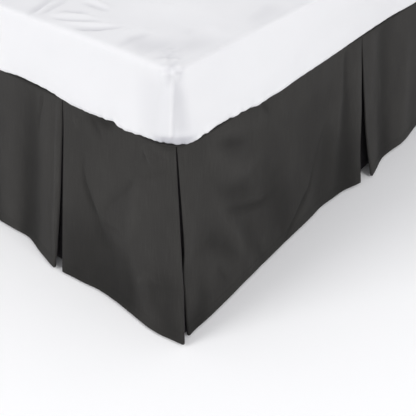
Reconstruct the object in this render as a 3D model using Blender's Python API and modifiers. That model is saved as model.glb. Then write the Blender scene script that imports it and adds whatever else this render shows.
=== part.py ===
# Single bed dressed with a pleated bed skirt.
# The bed lies along Y with its foot towards -Y, and stands on z = 0.
# The skirt is a flat platform under the mattress, with a drop sewn to it on three sides.
# Each drop has inverted pleats at its thirds, and one more at each foot corner.

import math

import bmesh
import bpy
from mathutils import Vector

# Bed, in metres
BED_WIDTH = 0.900
BED_LENGTH = 1.900
MATTRESS_DEPTH = 0.150
MATTRESS_CORNER = 0.070
MATTRESS_TOP_EDGE = 0.030
MATTRESS_BOTTOM_EDGE = 0.018
BASE_TOP = 0.380
BASE_INSET = 0.0075
BASE_CORNER = 0.050
BASE_EDGE = 0.006
GLIDE_HEIGHT = 0.040
GLIDE_RADIUS = 0.025
GLIDE_INSET = 0.110
GLIDE_SIDES = 20
CORNER_SEGMENTS = 7
EDGE_SEGMENTS = 3
SMOOTH_ANGLE = math.radians(40)

# Cloth of the skirt
CLOTH = 0.0015
TOUCH_GAP = 0.0003
BASE_CLEARANCE = 0.0022
LAYER_STEP = 0.0023
HEM_HEIGHT = 0.006
FALL_POWER = 1.12
ROWS = 5
PANEL_STATIONS = 10
FOLD_STATIONS = 4
CORNER_FOLD_STATIONS = 8
CORNER_STATIONS = 5

# Pleats: how deep the cloth is folded back, and how its folds are rounded
PLEAT_DEPTH = 0.070
TOP_PARTING = 0.0024
TOP_TURN = LAYER_STEP / 2
HEM_TURN = 0.0030
INNER_TURN = 0.0016
TURN_ANGLES = (30, 90, 150)
CORNER_HEM_RADIUS = 0.030
CORNER_HEM_GAP = 0.0035
CORNER_WRAP = 45
HEAD_WRAP = 30

# The three layers' distances from the base's side, at the top
UNDER_OFFSET = BASE_CLEARANCE + CLOTH / 2
BACK_OFFSET = UNDER_OFFSET + LAYER_STEP
FRONT_OFFSET = BACK_OFFSET + LAYER_STEP

# Half of the base's width and length
HALF_WIDTH = BED_WIDTH / 2 - BASE_INSET
HALF_LENGTH = BED_LENGTH / 2 - BASE_INSET

# Hem of the foot drop.
# panel, along the foot from its middle to the right, how far the hem stands out from the base
FOOT_HEM = (
    ("left", -0.520, 0.083),
    ("left", -0.440, 0.090),
    ("left", -0.330, 0.086),
    ("left", -0.240, 0.093),
    ("left", -0.172, 0.101),
    ("middle", -0.148, 0.098),
    ("middle", -0.090, 0.086),
    ("middle", 0.010, 0.080),
    ("middle", 0.078, 0.091),
    ("middle", 0.155, 0.107),
    ("right", 0.177, 0.104),
    ("right", 0.226, 0.099),
    ("right", 0.283, 0.091),
    ("right", 0.379, 0.093),
    ("right", 0.457, 0.096),
    ("right", 0.519, 0.086),
)

# Hem of the right drop.
# panel, along the side from the bed's foot corner to the head, how far the hem stands out
RIGHT_HEM = (
    ("foot", -0.054, 0.072),
    ("foot", 0.043, 0.068),
    ("foot", 0.166, 0.061),
    ("foot", 0.248, 0.058),
    ("foot", 0.396, 0.053),
    ("foot", 0.480, 0.050),
    ("foot", 0.619, 0.074),
    ("middle", 0.661, 0.082),
    ("middle", 0.764, 0.063),
    ("middle", 0.880, 0.066),
    ("middle", 1.010, 0.054),
    ("middle", 1.130, 0.060),
    ("middle", 1.250, 0.078),
    ("head", 1.284, 0.080),
    ("head", 1.400, 0.062),
    ("head", 1.560, 0.056),
    ("head", 1.720, 0.064),
    ("head", 1.910, 0.058),
)

# Hem of the left drop, in the same columns
LEFT_HEM = (
    ("foot", -0.056, 0.072),
    ("foot", 0.060, 0.066),
    ("foot", 0.190, 0.056),
    ("foot", 0.330, 0.060),
    ("foot", 0.470, 0.052),
    ("foot", 0.617, 0.077),
    ("middle", 0.652, 0.080),
    ("middle", 0.790, 0.058),
    ("middle", 0.930, 0.064),
    ("middle", 1.090, 0.056),
    ("middle", 1.248, 0.074),
    ("head", 1.286, 0.079),
    ("head", 1.430, 0.060),
    ("head", 1.590, 0.064),
    ("head", 1.750, 0.055),
    ("head", 1.910, 0.060),
)

# How far each pleat's folded-back cloth has parted from its panel at the hem
# side of the bed, the pleat's number, its near side, its far side
PLEAT_PARTING = (
    ("foot", 0, 0.007, 0.007),
    ("foot", 1, 0.008, 0.006),
    ("right", 0, 0.009, 0.013),
    ("right", 1, 0.012, 0.011),
    ("left", 0, 0.011, 0.012),
    ("left", 1, 0.010, 0.012),
)
CORNER_PARTING = 0.006


def new_material(name, colour, roughness):
    made = bpy.data.materials.new(name)
    made.use_nodes = True
    shader = made.node_tree.nodes["Principled BSDF"]
    shader.inputs["Base Color"].default_value = (*colour, 1.0)
    shader.inputs["Roughness"].default_value = roughness
    shader.inputs["Metallic"].default_value = 0.0
    return made


def new_object(name, mesh_builder, finish):
    mesh = bpy.data.meshes.new(name)
    mesh_builder.normal_update()
    mesh_builder.to_mesh(mesh)
    mesh_builder.free()
    mesh.materials.append(finish)
    made = bpy.data.objects.new(name, mesh)
    parts.objects.link(made)
    return made


def shade_round(made):
    made.data.shade_smooth()
    made.data.set_sharp_from_angle(angle=SMOOTH_ANGLE)


# Rounded boxes: the mattress, the base and the platform

def bevel_where(builder, chosen, width, segments):
    edges = [edge for edge in builder.edges if chosen(edge)]
    bmesh.ops.bevel(
        builder, geom=edges, offset=width, segments=segments, profile=0.5,
        affect="EDGES", clamp_overlap=True,
    )


def rounded_box(size, middle, corner, top_edge, bottom_edge):
    builder = bmesh.new()
    bmesh.ops.create_cube(builder, size=1.0)
    bmesh.ops.scale(builder, vec=size, verts=builder.verts)
    half_height = size.z / 2
    bevel_where(
        builder,
        lambda edge: abs(edge.verts[0].co.z - edge.verts[1].co.z) > half_height,
        corner,
        CORNER_SEGMENTS,
    )
    for level, width in ((half_height, top_edge), (-half_height, bottom_edge)):
        if width:
            bevel_where(
                builder,
                lambda edge: all(abs(vert.co.z - level) < CLOTH / 10 for vert in edge.verts),
                width,
                EDGE_SEGMENTS,
            )
    bmesh.ops.translate(builder, vec=middle, verts=builder.verts)
    return builder


def mattress():
    size = Vector((BED_WIDTH, BED_LENGTH, MATTRESS_DEPTH))
    bottom = BASE_TOP + CLOTH + 2 * TOUCH_GAP
    middle = Vector((0.0, 0.0, bottom + MATTRESS_DEPTH / 2))
    shape = rounded_box(size, middle, MATTRESS_CORNER, MATTRESS_TOP_EDGE, MATTRESS_BOTTOM_EDGE)
    made = new_object("mattress", shape, new_material("white_cover", (0.84, 0.84, 0.85), 0.85))
    shade_round(made)


def bed_base():
    size = Vector((2 * HALF_WIDTH, 2 * HALF_LENGTH, BASE_TOP - GLIDE_HEIGHT))
    middle = Vector((0.0, 0.0, (BASE_TOP + GLIDE_HEIGHT) / 2))
    shape = rounded_box(size, middle, BASE_CORNER, BASE_EDGE, BASE_EDGE)
    new_object("bed_base", shape, new_material("base_fabric", (0.55, 0.53, 0.50), 0.9))


def glides():
    plastic = new_material("glide_plastic", (0.03, 0.03, 0.03), 0.5)
    height = GLIDE_HEIGHT - TOUCH_GAP
    across = HALF_WIDTH - GLIDE_INSET
    along = HALF_LENGTH - GLIDE_INSET
    places = [(side * across, row * along) for row in (-1, 0, 1) for side in (-1, 1)]
    for number, (x, y) in enumerate(places, start=1):
        builder = bmesh.new()
        bmesh.ops.create_cone(
            builder, cap_ends=True, segments=GLIDE_SIDES,
            radius1=GLIDE_RADIUS, radius2=GLIDE_RADIUS, depth=height,
        )
        bmesh.ops.translate(builder, vec=(x, y, height / 2), verts=builder.verts)
        new_object(f"glide_{number}", builder, plastic)


def platform(cloth):
    edge = FRONT_OFFSET + CLOTH / 2
    size = Vector((2 * (HALF_WIDTH + edge), 2 * HALF_LENGTH + edge, CLOTH))
    middle = Vector((0.0, -edge / 2, BASE_TOP + TOUCH_GAP + CLOTH / 2))
    shape = rounded_box(size, middle, BASE_CORNER + edge, 0.0, 0.0)
    new_object("platform", shape, cloth)


# Drops: every station is a pair of plan points, one at the top of the cloth and one at its
# hem. A plan point is (along, out), seen from the side of the bed that the drop hangs on.

def straight_half(half):
    return half - BASE_CORNER


def corner_run(degrees):
    return math.radians(degrees) * (BASE_CORNER + BACK_OFFSET)


def top_point(along, out, half):
    past = abs(along) - straight_half(half)
    if past <= 0:
        return Vector((along, out))
    angle = past / (BASE_CORNER + BACK_OFFSET)
    reach = straight_half(half) + (BASE_CORNER + out) * math.sin(angle)
    rise = (BASE_CORNER + out) * math.cos(angle) - BASE_CORNER
    return Vector((math.copysign(reach, along), rise))


def smooth_value(rows, along):
    # Catmull-Rom through the table's rows, held at its ends
    last = len(rows) - 1
    index = sum(along >= row[0] for row in rows[1:last])
    (x0, y0), (x1, y1) = rows[index], rows[index + 1]
    before = rows[index - 1] if index > 0 else rows[0]
    after = rows[index + 2] if index + 2 <= last else rows[last]
    slope0 = (y1 - before[1]) / (x1 - before[0])
    slope1 = (after[1] - y0) / (after[0] - x0)
    span = x1 - x0
    t = (along - x0) / span
    return (
        (2 * t**3 - 3 * t**2 + 1) * y0
        + (t**3 - 2 * t**2 + t) * span * slope0
        + (3 * t**2 - 2 * t**3) * y1
        + (t**3 - t**2) * span * slope1
    )


class Panel:
    # One flat stretch of a drop between two pleats, corners or ends

    def __init__(self, rows, top_from, top_to, half):
        self.rows = rows
        self.top_ends = {-1: top_from, 1: top_to}
        self.hem_ends = {-1: rows[0][0], 1: rows[-1][0]}
        self.half = half

    def hem_out(self, along):
        return smooth_value(self.rows, along)

    def front(self, turned_ends):
        # An end that turns back stops short by the turn's radius
        top_from, top_to = (
            self.top_ends[end] - end * TOP_TURN * (end in turned_ends) for end in (-1, 1)
        )
        hem_from, hem_to = (
            self.hem_ends[end] - end * HEM_TURN * (end in turned_ends) for end in (-1, 1)
        )
        straight = straight_half(self.half)
        flat_from = max(top_from, -straight)
        flat_to = min(top_to, straight)
        runs = (
            (top_from, flat_from, CORNER_STATIONS * (flat_from > top_from)),
            (flat_from, flat_to, PANEL_STATIONS),
            (flat_to, top_to, CORNER_STATIONS * (flat_to < top_to)),
        )
        alongs = [
            start + (stop - start) * step / count for start, stop, count in runs for step in range(count)
        ]
        stations = []
        for top in alongs + [top_to]:
            part = (top - top_from) / (top_to - top_from)
            hem = hem_from + part * (hem_to - hem_from)
            stations.append((
                top_point(top, FRONT_OFFSET, self.half),
                Vector((hem, self.hem_out(hem))),
            ))
        return stations

    def folded_back(self, end, parting, steps=FOLD_STATIONS):
        # From the panel's end: round the outer fold, and back behind the panel
        top_tip = self.top_ends[end] - end * TOP_TURN
        hem_tip = self.hem_ends[end] - end * HEM_TURN
        tip_out = self.hem_out(hem_tip)
        stations = []
        for degrees in TURN_ANGLES:
            over = end * math.sin(math.radians(degrees))
            down = math.cos(math.radians(degrees))
            stations.append((
                top_point(
                    top_tip + TOP_TURN * over,
                    (FRONT_OFFSET + BACK_OFFSET) / 2 + TOP_TURN * down,
                    self.half,
                ),
                Vector((hem_tip + HEM_TURN * over, tip_out - HEM_TURN + HEM_TURN * down)),
            ))
        for step in range(steps + 1):
            back = PLEAT_DEPTH * step / steps
            hem = hem_tip - end * back
            gap = 2 * HEM_TURN + parting * step / steps
            stations.append((
                top_point(top_tip - end * back, BACK_OFFSET, self.half),
                Vector((hem, self.hem_out(hem) - gap)),
            ))
        return stations

    def inner_turn(self, end, folded):
        # From the folded-back cloth round the inner fold, to where the underlay starts
        hem = folded[-1][1]
        top_along = self.top_ends[end] - end * (TOP_TURN + PLEAT_DEPTH)
        stations = []
        for degrees in TURN_ANGLES:
            over = -end * math.sin(math.radians(degrees))
            down = math.cos(math.radians(degrees))
            stations.append((
                top_point(
                    top_along + TOP_TURN * over,
                    (BACK_OFFSET + UNDER_OFFSET) / 2 + TOP_TURN * down,
                    self.half,
                ),
                hem + INNER_TURN * Vector((over, down - 1)),
            ))
        return stations


def inverted_pleat(near_panel, far_panel, near_parting, far_parting):
    near_fold = near_panel.folded_back(1, near_parting)
    far_fold = far_panel.folded_back(-1, far_parting)
    near_turn = near_panel.inner_turn(1, near_fold)
    far_turn = far_panel.inner_turn(-1, far_fold)
    inward = Vector((0.0, -2 * INNER_TURN))
    top_along = (
        near_panel.top_ends[1] - TOP_TURN - PLEAT_DEPTH,
        far_panel.top_ends[-1] + TOP_TURN + PLEAT_DEPTH,
    )
    hem_from = near_fold[-1][1] + inward
    hem_to = far_fold[-1][1] + inward
    underlay = []
    for step in range(2 * FOLD_STATIONS + 1):
        part = step / (2 * FOLD_STATIONS)
        along = top_along[0] + part * (top_along[1] - top_along[0])
        underlay.append((
            top_point(along, UNDER_OFFSET, near_panel.half),
            hem_from.lerp(hem_to, part),
        ))
    return near_fold + near_turn + underlay + far_turn[::-1] + far_fold[::-1]


def panels_of(table, hem_shift, bounds, half):
    # bounds are the places along the top where panels meet
    names = list(dict.fromkeys(row[0] for row in table))
    panels = []
    for name, start, stop in zip(names, bounds, bounds[1:]):
        rows = [(along + hem_shift, out) for panel, along, out in table if panel == name]
        panels.append(Panel(rows, start + TOP_PARTING / 2, stop - TOP_PARTING / 2, half))
    return panels


def drop_stations(side, panels, corner_ends):
    partings = [(near, far) for name, _, near, far in PLEAT_PARTING if name == side]
    stations = []
    if -1 in corner_ends:
        stations += panels[0].folded_back(-1, CORNER_PARTING, CORNER_FOLD_STATIONS)[::-1]
    for number, panel in enumerate(panels):
        turned_ends = set(corner_ends)
        if number > 0:
            turned_ends.add(-1)
        if number < len(partings):
            turned_ends.add(1)
        stations += panel.front(turned_ends)
        if number < len(partings):
            stations += inverted_pleat(panel, panels[number + 1], *partings[number])
    if 1 in corner_ends:
        stations += panels[-1].folded_back(1, CORNER_PARTING, CORNER_FOLD_STATIONS)
    return stations


def hanging_cloth(name, stations, to_world, cloth):
    # Loft from the top line to the hem line, then give the cloth its thickness
    builder = bmesh.new()
    top_height = BASE_TOP - TOUCH_GAP
    grid = []
    for row in range(ROWS + 1):
        fall = row / ROWS
        height = top_height + fall * (HEM_HEIGHT - top_height)
        spread = fall ** FALL_POWER
        grid.append([
            builder.verts.new((*to_world(top.lerp(hem, spread)), height)) for top, hem in stations
        ])
    for upper, lower in zip(grid, grid[1:]):
        for index in range(len(upper) - 1):
            builder.faces.new((upper[index], lower[index], lower[index + 1], upper[index + 1]))
    made = new_object(name, builder, cloth)
    thickness = made.modifiers.new("cloth", "SOLIDIFY")
    thickness.thickness = CLOTH
    thickness.offset = 0.0
    thickness.use_even_offset = True
    shade_round(made)


def foot_to_world(point):
    return point.x, -HALF_LENGTH - point.y


def right_to_world(point):
    return HALF_WIDTH + point.y, point.x


def left_to_world(point):
    return -HALF_WIDTH - point.y, point.x


def foot_panels():
    corner = straight_half(HALF_WIDTH) + corner_run(CORNER_WRAP)
    third = BED_WIDTH / 6
    return panels_of(FOOT_HEM, 0.0, (-corner, -third, third, corner), HALF_WIDTH)


def side_panels(table):
    corner = straight_half(HALF_LENGTH) + corner_run(CORNER_WRAP)
    head = straight_half(HALF_LENGTH) + corner_run(HEAD_WRAP)
    third = BED_LENGTH / 6
    return panels_of(table, -BED_LENGTH / 2, (-corner, -third, third, head), HALF_LENGTH)


def drop_foot(cloth):
    stations = drop_stations("foot", foot_panels(), (-1, 1))
    hanging_cloth("drop_foot", stations, foot_to_world, cloth)


def drop_right(cloth):
    stations = drop_stations("right", side_panels(RIGHT_HEM), (-1,))
    hanging_cloth("drop_right", stations, right_to_world, cloth)


def drop_left(cloth):
    stations = drop_stations("left", side_panels(LEFT_HEM), (-1,))
    hanging_cloth("drop_left", stations, left_to_world, cloth)


# Corner underlays: the cloth behind each split foot corner, sewn to both drops' folded ends

def rounded_corner(start, corner, stop, radius, steps):
    # A line, an arc and a line, as evenly spaced points
    into = (corner - start).normalized()
    away = (stop - corner).normalized()
    turn = into.angle(away)
    trim = radius * math.tan(turn / 2)
    centre = corner + (away - into).normalized() * radius / math.cos(turn / 2)
    arc_start = corner - trim * into
    first = (arc_start - start).length
    arc = radius * turn
    last = (stop - corner).length - trim
    points = []
    for step in range(steps + 1):
        run = step / steps * (first + arc + last)
        if run <= first:
            points.append(start + run * into)
        elif run <= first + arc:
            angle = (run - first) / radius
            spoke = (arc_start - centre) * math.cos(angle) + into * radius * math.sin(angle)
            points.append(centre + spoke)
        else:
            points.append(corner + (trim + run - first - arc) * away)
    return points


def corner_underlay(name, foot_panel, foot_end, side_panel, side_to_world, cloth):
    steps = 2 * CORNER_FOLD_STATIONS
    foot_fold = foot_panel.folded_back(foot_end, CORNER_PARTING)
    side_fold = side_panel.folded_back(-1, CORNER_PARTING)
    behind = CLOTH + 2 * TOUCH_GAP

    def inside(station, to_world, inward):
        return Vector(to_world(station + Vector((0.0, -inward))))

    hem_start = inside(foot_fold[-1][1], foot_to_world, behind)
    hem_stop = inside(side_fold[-1][1], side_to_world, behind)
    foot_tip = inside(foot_fold[len(TURN_ANGLES)][1], foot_to_world, CORNER_HEM_GAP)
    side_tip = inside(side_fold[len(TURN_ANGLES)][1], side_to_world, CORNER_HEM_GAP)
    hem_corner = Vector((side_tip.x, foot_tip.y))
    hem_line = rounded_corner(hem_start, hem_corner, hem_stop, CORNER_HEM_RADIUS, steps)

    reach = PLEAT_DEPTH + TOP_TURN
    foot_run = straight_half(HALF_WIDTH) + corner_run(CORNER_WRAP)
    side_run = straight_half(HALF_LENGTH) + corner_run(CORNER_WRAP)
    stations = []
    for step, hem in enumerate(hem_line):
        run = reach * (2 * step / steps - 1)
        if run < 0:
            top = top_point(foot_end * (foot_run + run), UNDER_OFFSET, HALF_WIDTH)
            top = Vector(foot_to_world(top))
        else:
            top = top_point(-(side_run - run), UNDER_OFFSET, HALF_LENGTH)
            top = Vector(side_to_world(top))
        stations.append((top, hem))
    hanging_cloth(name, stations, lambda point: tuple(point), cloth)


def corner_underlays(cloth):
    foot = foot_panels()
    corner_underlay(
        "corner_underlay_right", foot[-1], 1, side_panels(RIGHT_HEM)[0], right_to_world, cloth,
    )
    corner_underlay(
        "corner_underlay_left", foot[0], -1, side_panels(LEFT_HEM)[0], left_to_world, cloth,
    )


def centre_outline():
    # The origin is the middle of the whole outline, on the floor
    bpy.context.view_layer.update()
    depsgraph = bpy.context.evaluated_depsgraph_get()
    corners = []
    for part in parts.objects:
        corners += [Vector(corner) for corner in part.evaluated_get(depsgraph).bound_box]
    for axis in (0, 1):
        values = [corner[axis] for corner in corners]
        middle = (min(values) + max(values)) / 2
        for part in parts.objects:
            part.location[axis] -= middle


for old in list(bpy.data.objects):
    bpy.data.objects.remove(old, do_unlink=True)

parts = bpy.data.collections.new("pleated_bed_skirt")
bpy.context.scene.collection.children.link(parts)

skirt_cloth = new_material("skirt_cloth", (0.045, 0.043, 0.041), 0.85)
mattress()
bed_base()
glides()
platform(skirt_cloth)
drop_foot(skirt_cloth)
drop_right(skirt_cloth)
drop_left(skirt_cloth)
corner_underlays(skirt_cloth)
centre_outline()
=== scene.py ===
import math

import bmesh
import bpy
from mathutils import Matrix, Vector, noise


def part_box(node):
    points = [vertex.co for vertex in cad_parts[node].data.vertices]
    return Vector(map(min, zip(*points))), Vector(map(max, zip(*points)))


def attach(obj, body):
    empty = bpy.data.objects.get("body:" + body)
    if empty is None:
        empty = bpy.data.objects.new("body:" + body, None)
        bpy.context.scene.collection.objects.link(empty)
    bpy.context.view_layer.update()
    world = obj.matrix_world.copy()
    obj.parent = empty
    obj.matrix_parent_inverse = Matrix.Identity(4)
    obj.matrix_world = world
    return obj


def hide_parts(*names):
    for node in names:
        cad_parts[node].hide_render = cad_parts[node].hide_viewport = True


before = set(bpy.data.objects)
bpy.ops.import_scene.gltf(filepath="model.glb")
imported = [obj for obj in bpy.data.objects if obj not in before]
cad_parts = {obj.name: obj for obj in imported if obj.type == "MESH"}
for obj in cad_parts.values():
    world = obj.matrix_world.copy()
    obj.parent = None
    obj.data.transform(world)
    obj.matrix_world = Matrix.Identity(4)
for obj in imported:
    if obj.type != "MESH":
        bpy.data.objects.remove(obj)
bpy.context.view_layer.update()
print("frame loaded")

baseLow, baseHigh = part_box("bed_base")
bedMiddle = (baseLow + baseHigh) / 2
halfWidth = (baseHigh.x - baseLow.x) / 2
halfLength = (baseHigh.y - baseLow.y) / 2


def smoothStep(low, high, value):
    part = min(1.0, max(0.0, (value - low) / (high - low)))
    return part * part * (3 - 2 * part)


# camera, floor and lights

view = {
    "place": (1.069, -1.553, 0.966),
    "turn": 40.4,  # degrees, from looking along the bed
    "down": 38.2,
    "roll": -0.5,
    "lens": 54.26,
    "sensor": 36.0,
    "farthest": 60.0,
}

bpy.ops.object.camera_add(location=view["place"])
camera = bpy.context.object
camera.name = "photoCamera"
camera.data.lens = view["lens"]
camera.data.sensor_width = view["sensor"]
camera.data.clip_end = view["farthest"]
camera.matrix_world = (
    Matrix.Translation(view["place"])
    @ Matrix.Rotation(math.radians(view["turn"]), 4, "Z")
    @ Matrix.Rotation(math.radians(90 - view["down"]), 4, "X")
    @ Matrix.Rotation(math.radians(view["roll"]), 4, "Z")
)
bpy.context.scene.camera = camera
bpy.context.scene.view_settings.view_transform = "Standard"

studio = {
    "worldColour": (0.965, 0.965, 1.0),
    "worldStrength": 0.60,
    "floorColour": (0.98, 0.98, 0.98),
    "floorRoughness": 0.9,
    "floorSpecular": 0.1,
    "floorSize": 16.0,
    "boxSize": 2.0,
    "aim": (0.35, -0.80, 0.30),
    "leftPower": 91.0,
    "leftPlace": (-1.55, -4.30, 2.70),
    "rightPower": 82.0,
    "rightPlace": (4.10, -1.20, 2.70),
    "backPower": 70.0,
    "backPlace": (-4.0, 2.4, 1.7),
    "backAim": (0.0, 0.0, 0.3),
}


def softLight(name, place, aim, power):
    bpy.ops.object.light_add(type="AREA", location=place)
    lamp = bpy.context.object
    lamp.name = name
    lamp.rotation_euler = (Vector(aim) - Vector(place)).to_track_quat("-Z", "Y").to_euler()
    lamp.data.shape = "SQUARE"
    lamp.data.size = studio["boxSize"]
    lamp.data.energy = power


def startMaterial(name, roughness):
    made = bpy.data.materials.new(name)
    made.use_nodes = True
    shader = made.node_tree.nodes["Principled BSDF"]
    shader.inputs["Roughness"].default_value = roughness
    return made, made.node_tree.nodes, made.node_tree.links, shader


def paleFloor():
    made, _, _, shader = startMaterial("paleFloor", studio["floorRoughness"])
    shader.inputs["Base Color"].default_value = (*studio["floorColour"], 1.0)
    shader.inputs["Specular IOR Level"].default_value = studio["floorSpecular"]
    return made


world = bpy.data.worlds.new("paleStudio")
world.use_nodes = True
background = world.node_tree.nodes["Background"]
background.inputs["Color"].default_value = (*studio["worldColour"], 1.0)
background.inputs["Strength"].default_value = studio["worldStrength"]
bpy.context.scene.world = world

bpy.ops.mesh.primitive_plane_add(size=studio["floorSize"], location=(0, 0, 0))
floor = bpy.context.object
floor.name = "paleFloor"
floor.data.materials.append(paleFloor())

softLight("leftLight", studio["leftPlace"], studio["aim"], studio["leftPower"])
softLight("rightLight", studio["rightPlace"], studio["aim"], studio["rightPower"])
softLight("backLight", studio["backPlace"], studio["backAim"], studio["backPower"])
print("camera, floor and lights")


# materials

def mathNode(nodes, links, operation, first, second):
    made = nodes.new("ShaderNodeMath")
    made.operation = operation
    for socket, value in zip(made.inputs, (first, second)):
        if isinstance(value, (int, float)):
            socket.default_value = value
        else:
            links.new(value, socket)
    return made.outputs[0]


def stretchedNoise(nodes, links, source, scale, detail, stretch=(1, 1, 1)):
    mapping = nodes.new("ShaderNodeMapping")
    mapping.inputs["Scale"].default_value = stretch
    texture = nodes.new("ShaderNodeTexNoise")
    texture.inputs["Scale"].default_value = scale
    texture.inputs["Detail"].default_value = detail
    links.new(source, mapping.inputs["Vector"])
    links.new(mapping.outputs["Vector"], texture.inputs["Vector"])
    return texture.outputs["Fac"]


def rampNode(nodes, links, source, stops):
    ramp = nodes.new("ShaderNodeValToRGB")
    ramp.color_ramp.elements[0].position = stops[0][0]
    ramp.color_ramp.elements[0].color = (*stops[0][1], 1.0)
    ramp.color_ramp.elements[1].position = stops[-1][0]
    ramp.color_ramp.elements[1].color = (*stops[-1][1], 1.0)
    for place, colour in stops[1:-1]:
        ramp.color_ramp.elements.new(place).color = (*colour, 1.0)
    links.new(source, ramp.inputs["Fac"])
    return ramp.outputs["Color"]


def multiplyColour(nodes, links, first, second, amount=1.0):
    mix = nodes.new("ShaderNodeMixRGB")
    mix.blend_type = "MULTIPLY"
    if isinstance(amount, (int, float)):
        mix.inputs["Fac"].default_value = amount
    else:
        links.new(amount, mix.inputs["Fac"])
    links.new(first, mix.inputs["Color1"])
    if isinstance(second, tuple):
        mix.inputs["Color2"].default_value = (*second, 1.0)
    else:
        links.new(second, mix.inputs["Color2"])
    return mix.outputs["Color"]


def mottled(nodes, links, colour, pattern, darkest):
    # darkened a little where the pattern is low
    tones = rampNode(nodes, links, pattern, ((0.3, darkest), (0.7, (1.0, 1.0, 1.0))))
    return multiplyColour(nodes, links, colour, tones)


def addBump(nodes, links, shader, height, bumpValues):
    bump = nodes.new("ShaderNodeBump")
    bump.inputs["Strength"].default_value = bumpValues[0]
    bump.inputs["Distance"].default_value = bumpValues[1]
    links.new(height, bump.inputs["Height"])
    links.new(bump.outputs["Normal"], shader.inputs["Normal"])


waveLength = 0.314  # of a wave texture at a scale of 1


def weaveHeight(nodes, links, source, threadWidth):
    # warp and weft as two sets of rounded ribs, in metres on the cloth
    heights = []
    for direction in ("X", "Y"):
        wave = nodes.new("ShaderNodeTexWave")
        wave.bands_direction = direction
        wave.inputs["Scale"].default_value = waveLength / threadWidth
        wave.inputs["Distortion"].default_value = 0.6
        wave.inputs["Detail"].default_value = 1.0
        links.new(source, wave.inputs["Vector"])
        heights.append(wave.outputs["Fac"])
    return mathNode(nodes, links, "MAXIMUM", *heights)


def foldTones(nodes, links, cloth):
    # painted shade in the hollows of the folds and painted highlight on their ridges, from -1 to 1
    folds = nodes.new("ShaderNodeAttribute")
    folds.attribute_name = "foldShade"
    raised = mathNode(nodes, links, "ADD", folds.outputs["Fac"], 1.0)
    tone = mathNode(nodes, links, "MULTIPLY", raised, 0.5)
    return rampNode(nodes, links, tone, (
        (0.0, cloth["paintedShade"]),
        (0.5, (1.0, 1.0, 1.0)),
        (1.0, cloth["ridge"]),
    ))


charcoalCloth = {
    "colour": (0.0382, 0.0368, 0.0346),
    "darkThread": (0.0360, 0.0345, 0.0325),
    "lightThread": (0.0445, 0.0430, 0.0405),
    # a purplish tint painted over the cloth inside the pleats, for the colour of the shade there
    "paintedPleatShade": (1.06, 0.99, 1.14),
    # painted shade in the fold hollows and painted highlight on the fold ridges
    "paintedShade": (0.54, 0.54, 0.54),
    "ridge": (1.24, 1.24, 1.24),
    "threadWidth": 0.00062,
    "roughness": 0.86,
    "sheen": 0.02,
    "sheenRoughness": 0.5,
    "specular": 0.10,
    "warpsPerMetre": (620, 22, 1),  # along and down the cloth
    "weftsPerMetre": (30, 700, 1),
    "weftShadow": (0.93, 0.93, 0.93),
    "dyePatches": 9.0,
    "dyeShadow": (0.90, 0.90, 0.91),
    "slubHeight": 1.6,
    "bump": (0.35, 0.0002),  # strength, and depth in metres
}


def charcoalWeave():
    cloth = charcoalCloth
    made, nodes, links, shader = startMaterial("charcoalPolyCotton", cloth["roughness"])
    shader.inputs["Sheen Weight"].default_value = cloth["sheen"]
    shader.inputs["Sheen Roughness"].default_value = cloth["sheenRoughness"]
    shader.inputs["Specular IOR Level"].default_value = cloth["specular"]
    clothUv = nodes.new("ShaderNodeUVMap")
    clothUv.uv_map = "clothUV"
    place = clothUv.outputs["UV"]
    slubs = stretchedNoise(nodes, links, place, 1.0, 3.0, cloth["warpsPerMetre"])
    colour = rampNode(nodes, links, slubs, (
        (0.30, cloth["darkThread"]),
        (0.50, cloth["colour"]),
        (0.72, cloth["lightThread"]),
    ))
    wefts = stretchedNoise(nodes, links, place, 1.0, 2.0, cloth["weftsPerMetre"])
    colour = mottled(nodes, links, colour, wefts, cloth["weftShadow"])
    patches = stretchedNoise(nodes, links, place, cloth["dyePatches"], 3.0)
    colour = mottled(nodes, links, colour, patches, cloth["dyeShadow"])
    # painted shade and highlight along the folds, with the cloth painted lighter at the top and darker
    # towards the hem
    colour = multiplyColour(nodes, links, colour, foldTones(nodes, links, cloth))
    # painted shade tint inside the pleats, purplish and a little lighter
    inside = nodes.new("ShaderNodeAttribute")
    inside.attribute_name = "paintedPleatShade"
    colour = multiplyColour(nodes, links, colour, cloth["paintedPleatShade"], inside.outputs["Fac"])
    links.new(colour, shader.inputs["Base Color"])
    weave = weaveHeight(nodes, links, place, cloth["threadWidth"])
    raisedSlubs = mathNode(nodes, links, "MULTIPLY", slubs, cloth["slubHeight"])
    height = mathNode(nodes, links, "ADD", weave, raisedSlubs)
    addBump(nodes, links, shader, height, cloth["bump"])
    return made


whiteCotton = {
    "colour": (0.785, 0.785, 0.795),
    # painted shade, a little bluish, and painted highlight for the cover's hollows and ridges
    "paintedShade": (0.62, 0.62, 0.65),
    "ridge": (1.06, 1.06, 1.055),
    "roughness": 0.88,
    "sheen": 0.05,
    "specular": 0.2,
    "patches": 5.0,
    "patchShadow": 0.985,
    "threadsPerMetre": (900, 900, 900),
    "crumple": 34.0,  # faint and unironed
    "crumpleHeight": 5.0,
    "bump": (0.30, 0.0002),
}


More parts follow.
